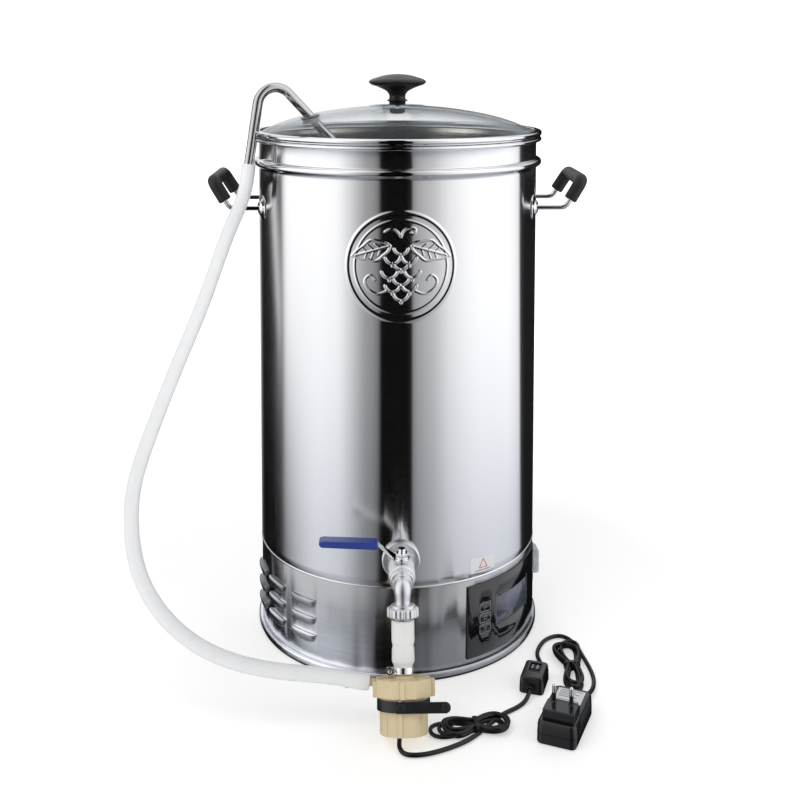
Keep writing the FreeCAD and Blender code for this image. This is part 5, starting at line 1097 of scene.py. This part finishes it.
for px in (-8.5, 10.5):
    case.append(tf(rev(rounded([(1.5, 0), (3.4, 0.0), (2.9, 1.4), (2.3, 2.2), (2.3, 11.0), (1.5, 11.0)],
                               [0, .3, .4, .4, .2, .1], 3), 32), T(px, -15.0, 35.6)))
make("adapter_shell", [tf(m, AD) for m in case], "shiny", "kettle", ["adapter_case"], angle=42)
vents = [block(17.2, 21.4, -14.0 + 4.6 * k, -11.6 + 4.6 * k, 14.0, 24.9, 0.9, 3) for k in range(9)]
make("adapter_vent_ribs", [tf(m, AD) for m in vents], "shiny", "kettle", angle=42)
lab = [block(-15.0, 15.0, 2.0, 33.0, 25.0, 25.12, 0.04, 1)]
make("adapter_label", [tf(m, AD) for m in lab], "paper", "kettle")
bars = [block(-12.0, -12.0 + w, y, y + 1.2, 25.12, 25.18, 0, 1) for w, y in
        ((24, 29.5), (17, 26.3), (22, 23.2), (12, 20.0), (20, 16.8), (24, 10.4), (14, 7.2))]
make("adapter_label_lines", [tf(m, AD) for m in bars], "ink", "kettle")
pins = [tf(rev(rounded([(0, 46.4), (2.0, 46.4), (2.0, 54.3), (1.2, 55.45), (0, 55.5)], [0, 0, 0.8, 0.5, 0], 4), 32),
           AD @ T(px, -15.0, 0)) for px in (-8.5, 10.5)]
make("plug_pin_tips", pins, "bright", "kettle", ["plug_pins"])


# ----------------------------------------------------- panel marks and labels
def wrapped(u0, u1, z0, z1, az, r, t=0.12, nu=10, nz=2):
    """A thin patch lying on the wall: u runs along the wall from its middle."""
    us = np.linspace(u0, u1, nu + 1)
    zs = np.linspace(z0, z1, nz + 1)
    P = np.zeros((2, nu + 1, nz + 1, 3))
    for k, rr in enumerate((r, r + t)):
        for i, u in enumerate(us):
            for j, z in enumerate(zs):
                P[k, i, j] = polar(az + math.degrees(u / r), rr, z)
    nv = (nu + 1) * (nz + 1)
    v = P.reshape(-1, 3)
    f = []
    for k in range(2):
        for i in range(nu):
            for j in range(nz):
                a = k * nv + i * (nz + 1) + j
                q = (a, a + nz + 1, a + nz + 2, a + 1)
                f.append(q if k else q[::-1])
    edge = [(i, 0) for i in range(nu + 1)] + [(nu, j) for j in range(1, nz + 1)] + \
           [(i, nz) for i in range(nu - 1, -1, -1)] + [(0, j) for j in range(nz - 1, 0, -1)]
    idx = [i * (nz + 1) + j for i, j in edge]
    for a, b in zip(idx, idx[1:] + idx[:1]):
        f.append((a, b, nv + b, nv + a))
    return v, f


def outline(u0, u1, z0, z1, az, r, w=0.8, rc=2.2):
    """A rounded rectangle drawn as a thin line on the wall."""
    pts = rounded([(u0, z0), (u1, z0), (u1, z1), (u0, z1)], rc, 5)
    ins = rounded([(u0 + w, z0 + w), (u1 - w, z0 + w), (u1 - w, z1 - w), (u0 + w, z1 - w)], max(rc - w, 0.3), 5)
    return strip(pts, ins, az, r)


def strip(pts, ins, az, r, t=0.1):
    n = len(pts)
    P = np.zeros((n, 4, 3))
    for i in range(n):
        for j, (q, rr) in enumerate(((pts[i], r), (ins[i], r), (ins[i], r + t), (pts[i], r + t))):
            P[i, j] = polar(az + math.degrees(q[0] / r), rr, q[1])
    return lattice(P, True, True)


keys = []
for kz in (73.4, 60.4, 47.4):
    keys.append(outline(-8.6, 8.6, kz - 5.6, kz + 5.6, 35.05, 176.02, 0.7, 1.8))
make("panel_key_frames", keys, "mark", "kettle", angle=50)
up_s = rounded([(-2.6, -1.5), (2.6, -1.5), (0, 2.2)], 0.2, 2)
for body, kz, sgn, nm in (("key_a", 73.4, 1, "top"), ("key_b", 60.4, 0, "middle"), ("key_c", 47.4, -1, "bottom")):
    if sgn == 0:
        t = np.linspace(0, 2 * math.pi, 28, endpoint=False)
        o = np.c_[2.3 * np.cos(t), 2.3 * np.sin(t) + kz]
        i = np.c_[1.6 * np.cos(t), 1.6 * np.sin(t) + kz]
    else:
        o = np.array([(p[0], p[1] * sgn + kz) for p in up_s])
        c = o.mean(0)
        i = c + (o - c) * 0.72
    make("key_sign_" + nm, [strip(o, i, 35.05, 175.93)], "mark", body, angle=50)
lcd_frame = [outline(-37.0, 37.0, 43.4, 82.6, 52.75, 176.02, 0.5, 3.0)]
make("panel_window_frame", lcd_frame, "mark", "kettle", angle=50)
make("body_label", [wrapped(-18.0, 18.0, 118.0, 136.0, 34.0, 175.03, 0.12, 16, 3)], "paper", "kettle",
     angle=50)
make("body_label_lines", [wrapped(-12.0, 12.0, 119.6, 120.6, 34.0, 175.16, 0.04, 12, 1)], "ink", "kettle",
     angle=50)
tri = rounded([(-6.8, 122.4), (6.8, 122.4), (0.0, 134.4)], 0.9, 3)
tc = np.array([0.0, 126.4])
make("body_label_sign", [strip(tri, tc + (tri - tc) * 0.74, 34.0, 175.16, 0.05)], "red", "kettle",
     angle=50)

# -------------------------------------------------- carried-over CAD nodes
LOOK = {
    "boiler_bottom": "inside", "base_skirt": "brushed", "base_tray": "brushed", "foot_ring": "rubber",
    "base_screws": "bright", "heating_element": "inside", "temperature_probe": "bright", "thermal_cutout": "black",
    "control_panel": "gloss", "display_module": "lcd", "key_top": "gloss", "key_middle": "gloss",
    "key_bottom": "gloss", "control_board": "green", "power_module": "alu", "switch_bezel": "black",
    "power_rocker": "black", "switch_boot": "boot", "mains_inlet": "black", "outlet_inner_nut": "bright",
    "valve_ball": "bright", "valve_stem": "bright", "hose_tail": "cast", "pump_impeller": "black",
    "knob_screw": "bright", "malt_pipe": "inside", "bottom_sieve": "inside", "top_sieve": "inside",
    "overflow_pipe": "inside", "inline_rocker": "black"}
for name, o in NODES.items():
    if o.hide_render:
        continue
    o.data.materials.clear()
    o.data.materials.append(MAT[LOOK[name]])
    w = o.modifiers.new("weld", "WELD")
    w.merge_threshold = 2e-6
    b = o.modifiers.new("bevel", "BEVEL")
    b.width = {"switch_boot": 0.0004, "switch_bezel": 0.0008, "mains_inlet": 0.0006}.get(name, 0.0003)
    b.segments = 2
    b.limit_method = "ANGLE"
    b.angle_limit = rad(40)
    b.harden_normals = True
    b.use_clamp_overlap = True

# ---------------------------------------------------------------- the studio
floor_me = bpy.data.meshes.new("studio_floor")
floor_me.from_pydata([(-9, -9, -0.0002), (9, -9, -0.0002), (9, 9, -0.0002), (-9, 9, -0.0002)], [], [(0, 1, 2, 3)])
floor = bpy.data.objects.new("studio_floor", floor_me)
scene.collection.objects.link(floor)
fm = bpy.data.materials.new("studio_floor")
fm.use_nodes = True
nt = fm.node_tree
nt.nodes.clear()
dif = new(nt, "ShaderNodeBsdfDiffuse", Color=(0.80, 0.80, 0.80, 1))
emi = new(nt, "ShaderNodeEmission", Color=(1, 1, 1, 1), Strength=0.42)
where = new(nt, "ShaderNodeNewGeometry")
place = new(nt, "ShaderNodeSeparateXYZ")
nt.links.new(where.outputs["Position"], place.inputs[0])
far_off = arith(nt, "SQRT", arith(nt, "ADD", arith(nt, "POWER", place.outputs["X"], 2.0),
                                  arith(nt, "POWER", place.outputs["Y"], 2.0)), 0.0)
nt.links.new(span(nt, far_off, 0.40, 1.15, 0.42, 1.0), emi.inputs["Strength"])
add = nt.nodes.new("ShaderNodeAddShader")
out = nt.nodes.new("ShaderNodeOutputMaterial")
nt.links.new(dif.outputs[0], add.inputs[0])
nt.links.new(emi.outputs[0], add.inputs[1])
nt.links.new(add.outputs[0], out.inputs["Surface"])
floor_me.materials.append(fm)
floor.visible_glossy = False

world = bpy.data.worlds.new("studio")
scene.world = world
world.use_nodes = True
nt = world.node_tree
nt.nodes.clear()
L = nt.links
geo = new(nt, "ShaderNodeTexCoord")
sep = new(nt, "ShaderNodeSeparateXYZ")
L.new(geo.outputs["Generated"], sep.inputs[0])


def mth(op, a, b=None, c=None):
    n = nt.nodes.new("ShaderNodeMath")
    n.operation = op
    for i, x in enumerate((a, b, c)):
        if x is None:
            continue
        if isinstance(x, (int, float)):
            n.inputs[i].default_value = x
        else:
            L.new(x, n.inputs[i])
    return n.outputs[0]


neg_y = mth("MULTIPLY", sep.outputs["Y"], -1.0)
theta = mth("ARCTAN2", sep.outputs["X"], neg_y)
elev = mth("MULTIPLY", mth("ARCSINE", sep.outputs["Z"]), 180 / math.pi)
deg = mth("MULTIPLY", theta, 180 / math.pi)
fac = mth("MULTIPLY_ADD", deg, 1 / 360.0, 0.5)


def lin(level):
    c = level / 255.0
    return c / 12.92 if c <= 0.04045 else ((c + 0.055) / 1.055) ** 2.4


def share(x, a, b, lo=0.0, hi=1.0):
    n = nt.nodes.new("ShaderNodeMapRange")
    n.clamp = True
    L.new(x, n.inputs["Value"])
    for k, v in (("From Min", a), ("From Max", b), ("To Min", lo), ("To Max", hi)):
        n.inputs[k].default_value = v
    return n.outputs["Result"]


def curve(x, stops, lo, hi):
    """A piecewise line in x, through a ramp over lo..hi."""
    r = ramp(nt, share(x, lo, hi), [((a - lo) / (hi - lo), v) for a, v in stops])
    return r.outputs["Color"]


def tone(x, stops, lo=-180.0, hi=180.0):
    return curve(x, [(a, lin(v)) for a, v in stops], lo, hi)


# the studio as the steel sees it: strip lights and dark flags round the kettle, dimmer toward the floor
low_r = mth("MULTIPLY", mth("MAXIMUM", mth("SUBTRACT", -6.9, elev), 0.0), 0.43)
deg_r = mth("SUBTRACT", deg, mth("MULTIPLY", low_r, share(deg, 70, 100)))
low_c = mth("MULTIPLY", share(elev, -21.5, -24.0), mth("MULTIPLY", share(deg, -40, -20), share(deg, -2, -10)))
deg_c = mth("MULTIPLY_ADD", low_c, 2.4, deg_r)
BAND = [(-180, 228), (-165, 215), (-158, 120), (-152, 44), (-147, 28), (-117, 26), (-114.5, 60), (-112.5, 88),
        (-110.5, 100), (-108.5, 180), (-106, 224), (-103, 247), (-97, 254), (-62, 252), (-50, 246), (-40, 214),
        (-32, 178), (-26, 152), (-22, 146), (-17, 122), (-15.9, 118), (-15.0, 10), (-6, 8), (6, 8), (8.5, 18)]
BAND2 = [(8.5, 18), (10.2, 26), (11.4, 142), (15, 160), (21, 176), (28, 190), (41, 228), (55, 246), (70, 255),
         (98, 254), (106, 244), (112, 234), (115.3, 212), (117.3, 64), (121, 46), (126, 26), (170, 26), (180, 60)]
west = tone(deg_c, BAND)
east = tone(deg_c, BAND2)
half = nt.nodes.new("ShaderNodeMix")
half.data_type = "RGBA"
L.new(mth("GREATER_THAN", deg_c, 8.5), half.inputs[0])
L.new(west, half.inputs[6])
L.new(east, half.inputs[7])
# a hanging white tube's image near the left edge, sliding along the wall with height
slide = mth("SUBTRACT", deg, mth("MULTIPLY_ADD", elev, -1.67, -134.5))
tube_img = mth("MULTIPLY", tone(slide, [(-8, 0), (-5.2, 0), (-4.0, 205), (0, 238), (3.4, 225), (5.0, 0), (8, 0)], -8, 8),
               share(elev, -16.0, -12.5))
soft_left = mth("MULTIPLY", curve(deg, [(-112, 1.0), (-107, 1.0), (-101, 0.85), (-91, 0.45), (-82, 0.2), (-72, 0.0)],
                                  -112, -72),
                curve(elev, [(-30, 0.75), (-23.3, 0.72), (-20.8, 0.62), (-17, 0.40), (-12, 0.0)], -30, -12))
keep_left = mth("SUBTRACT", 1.0, soft_left)
lifted = nt.nodes.new("ShaderNodeMix")
lifted.data_type = "RGBA"
lifted.blend_type = "LIGHTEN"
lifted.inputs[0].default_value = 1.0
L.new(half.outputs[2], lifted.inputs[6])
L.new(tube_img, lifted.inputs[7])
ELEV = [(-60, (0.30, 0.31, 0.33)), (-34, (0.44, 0.455, 0.49)), (-28, (0.43, 0.445, 0.48)), (-25.5, (0.43, 0.45, 0.50)),
        (-23.3, (0.52, 0.545, 0.60)), (-20.8, (0.69, 0.71, 0.76)), (-17.5, (0.87, 0.885, 0.915)),
        (-13.5, (0.98, 0.985, 1.0)), (-9, (1.0, 1.0, 1.0)), (90, (1.0, 1.0, 1.0))]
el_ramp = ramp(nt, share(elev, -90, 90), [((a + 90) / 180.0, v) for a, v in ELEV])
mix = nt.nodes.new("ShaderNodeMix")
mix.data_type = "RGBA"
mix.blend_type = "MULTIPLY"
mix.inputs[0].default_value = 1.0
L.new(lifted.outputs[2], mix.inputs[6])
L.new(el_ramp.outputs["Color"], mix.inputs[7])
dim_left = nt.nodes.new("ShaderNodeVectorMath")
dim_left.operation = "SCALE"
L.new(mix.outputs[2], dim_left.inputs[0])
L.new(keep_left, dim_left.inputs["Scale"])
# overhead: a wide pale ceiling behind and above
up_side = mth("MULTIPLY", share(elev, 10, 26), share(mth("ABSOLUTE", deg), 95, 130))
sky = nt.nodes.new("ShaderNodeMix")
sky.data_type = "RGBA"
L.new(up_side, sky.inputs[0])
L.new(dim_left.outputs[0], sky.inputs[6])
sky.inputs[7].default_value = (0.74, 0.77, 0.80, 1)
lp = nt.nodes.new("ShaderNodeLightPath")
bg_soft = new(nt, "ShaderNodeBackground", Color=(1, 1, 1, 1), Strength=0.50)
bg_cam = new(nt, "ShaderNodeBackground", Color=(1, 1, 1, 1), Strength=1.05)
bg_gloss = new(nt, "ShaderNodeBackground", Strength=1.16)
L.new(sky.outputs[2], bg_gloss.inputs["Color"])
bg_deep = new(nt, "ShaderNodeBackground", Color=(0.8, 0.84, 0.88, 1), Strength=0.30)
m1 = nt.nodes.new("ShaderNodeMixShader")
m2 = nt.nodes.new("ShaderNodeMixShader")
m3 = nt.nodes.new("ShaderNodeMixShader")
m4 = nt.nodes.new("ShaderNodeMixShader")
wo = nt.nodes.new("ShaderNodeOutputWorld")
L.new(lp.outputs["Is Glossy Ray"], m1.inputs[0])
L.new(bg_soft.outputs[0], m1.inputs[1])
L.new(bg_gloss.outputs[0], m1.inputs[2])
deep = mth("GREATER_THAN", lp.outputs["Ray Depth"], 4.5)
L.new(deep, m3.inputs[0])
L.new(bg_cam.outputs[0], m3.inputs[1])
L.new(bg_deep.outputs[0], m3.inputs[2])
L.new(lp.outputs["Is Transmission Ray"], m2.inputs[0])
L.new(m1.outputs[0], m2.inputs[1])
L.new(m3.outputs[0], m2.inputs[2])
L.new(lp.outputs["Is Camera Ray"], m4.inputs[0])
L.new(m2.outputs[0], m4.inputs[1])
L.new(bg_cam.outputs[0], m4.inputs[2])
L.new(m4.outputs[0], wo.inputs["Surface"])


def soft(name, loc, size, power, target=(0, 0, 0.3), glossy=False):
    li = bpy.data.lights.new(name, "AREA")
    li.shape = "SQUARE"
    li.size = size
    li.energy = power
    o = bpy.data.objects.new(name, li)
    scene.collection.objects.link(o)
    o.location = loc
    o.rotation_mode = "QUATERNION"
    o.rotation_quaternion = (Vector(target) - Vector(loc)).to_track_quat("-Z", "Y")
    o.visible_glossy = glossy
    return o


soft("key_light", (-1.1, -1.3, 2.4), 1.6, 17.0)
soft("fill_light", (1.8, -1.2, 1.6), 1.8, 9.5)
soft("back_light", (0.3, 1.8, 2.0), 1.8, 9.0)

scene.view_settings.view_transform = "Standard"
scene.view_settings.look = "None"

# ----------------------------------------------------------------- the camera
cd = bpy.data.cameras.new("photo_camera")
cam = bpy.data.objects.new("photo_camera", cd)
scene.collection.objects.link(cam)
cd.sensor_width = 36.0
cd.lens = 51.976
cd.clip_start, cd.clip_end = 0.05, 40.0
cam.location = (-0.0344, -1.4593, 0.7298)
fwd = Vector((0.02348, 0.99613, -0.08469)).normalized()
right = fwd.cross(Vector((0, 0, 1))).normalized()
upv = right.cross(fwd)
cam.rotation_mode = "QUATERNION"
cam.rotation_quaternion = Matrix((right, upv, -fwd)).transposed().to_quaternion()
for prop, value in (("shift_x", 0.00333), ("shift_y", -0.31356)):
    setattr(cd, prop, value)
    fc = cd.driver_add(prop)
    dr = fc.driver
    dr.type = "SCRIPTED"
    for nm, axis in (("px", "location.x"), ("py", "location.y")):
        va = dr.variables.new()
        va.name = nm
        va.type = "SINGLE_PROP"
        va.targets[0].id = cam
        va.targets[0].data_path = axis
    dr.expression = "%.6f if abs(px + 0.0344) < 0.0001 and abs(py + 1.4593) < 0.0001 else 0.0" % value
scene.camera = cam
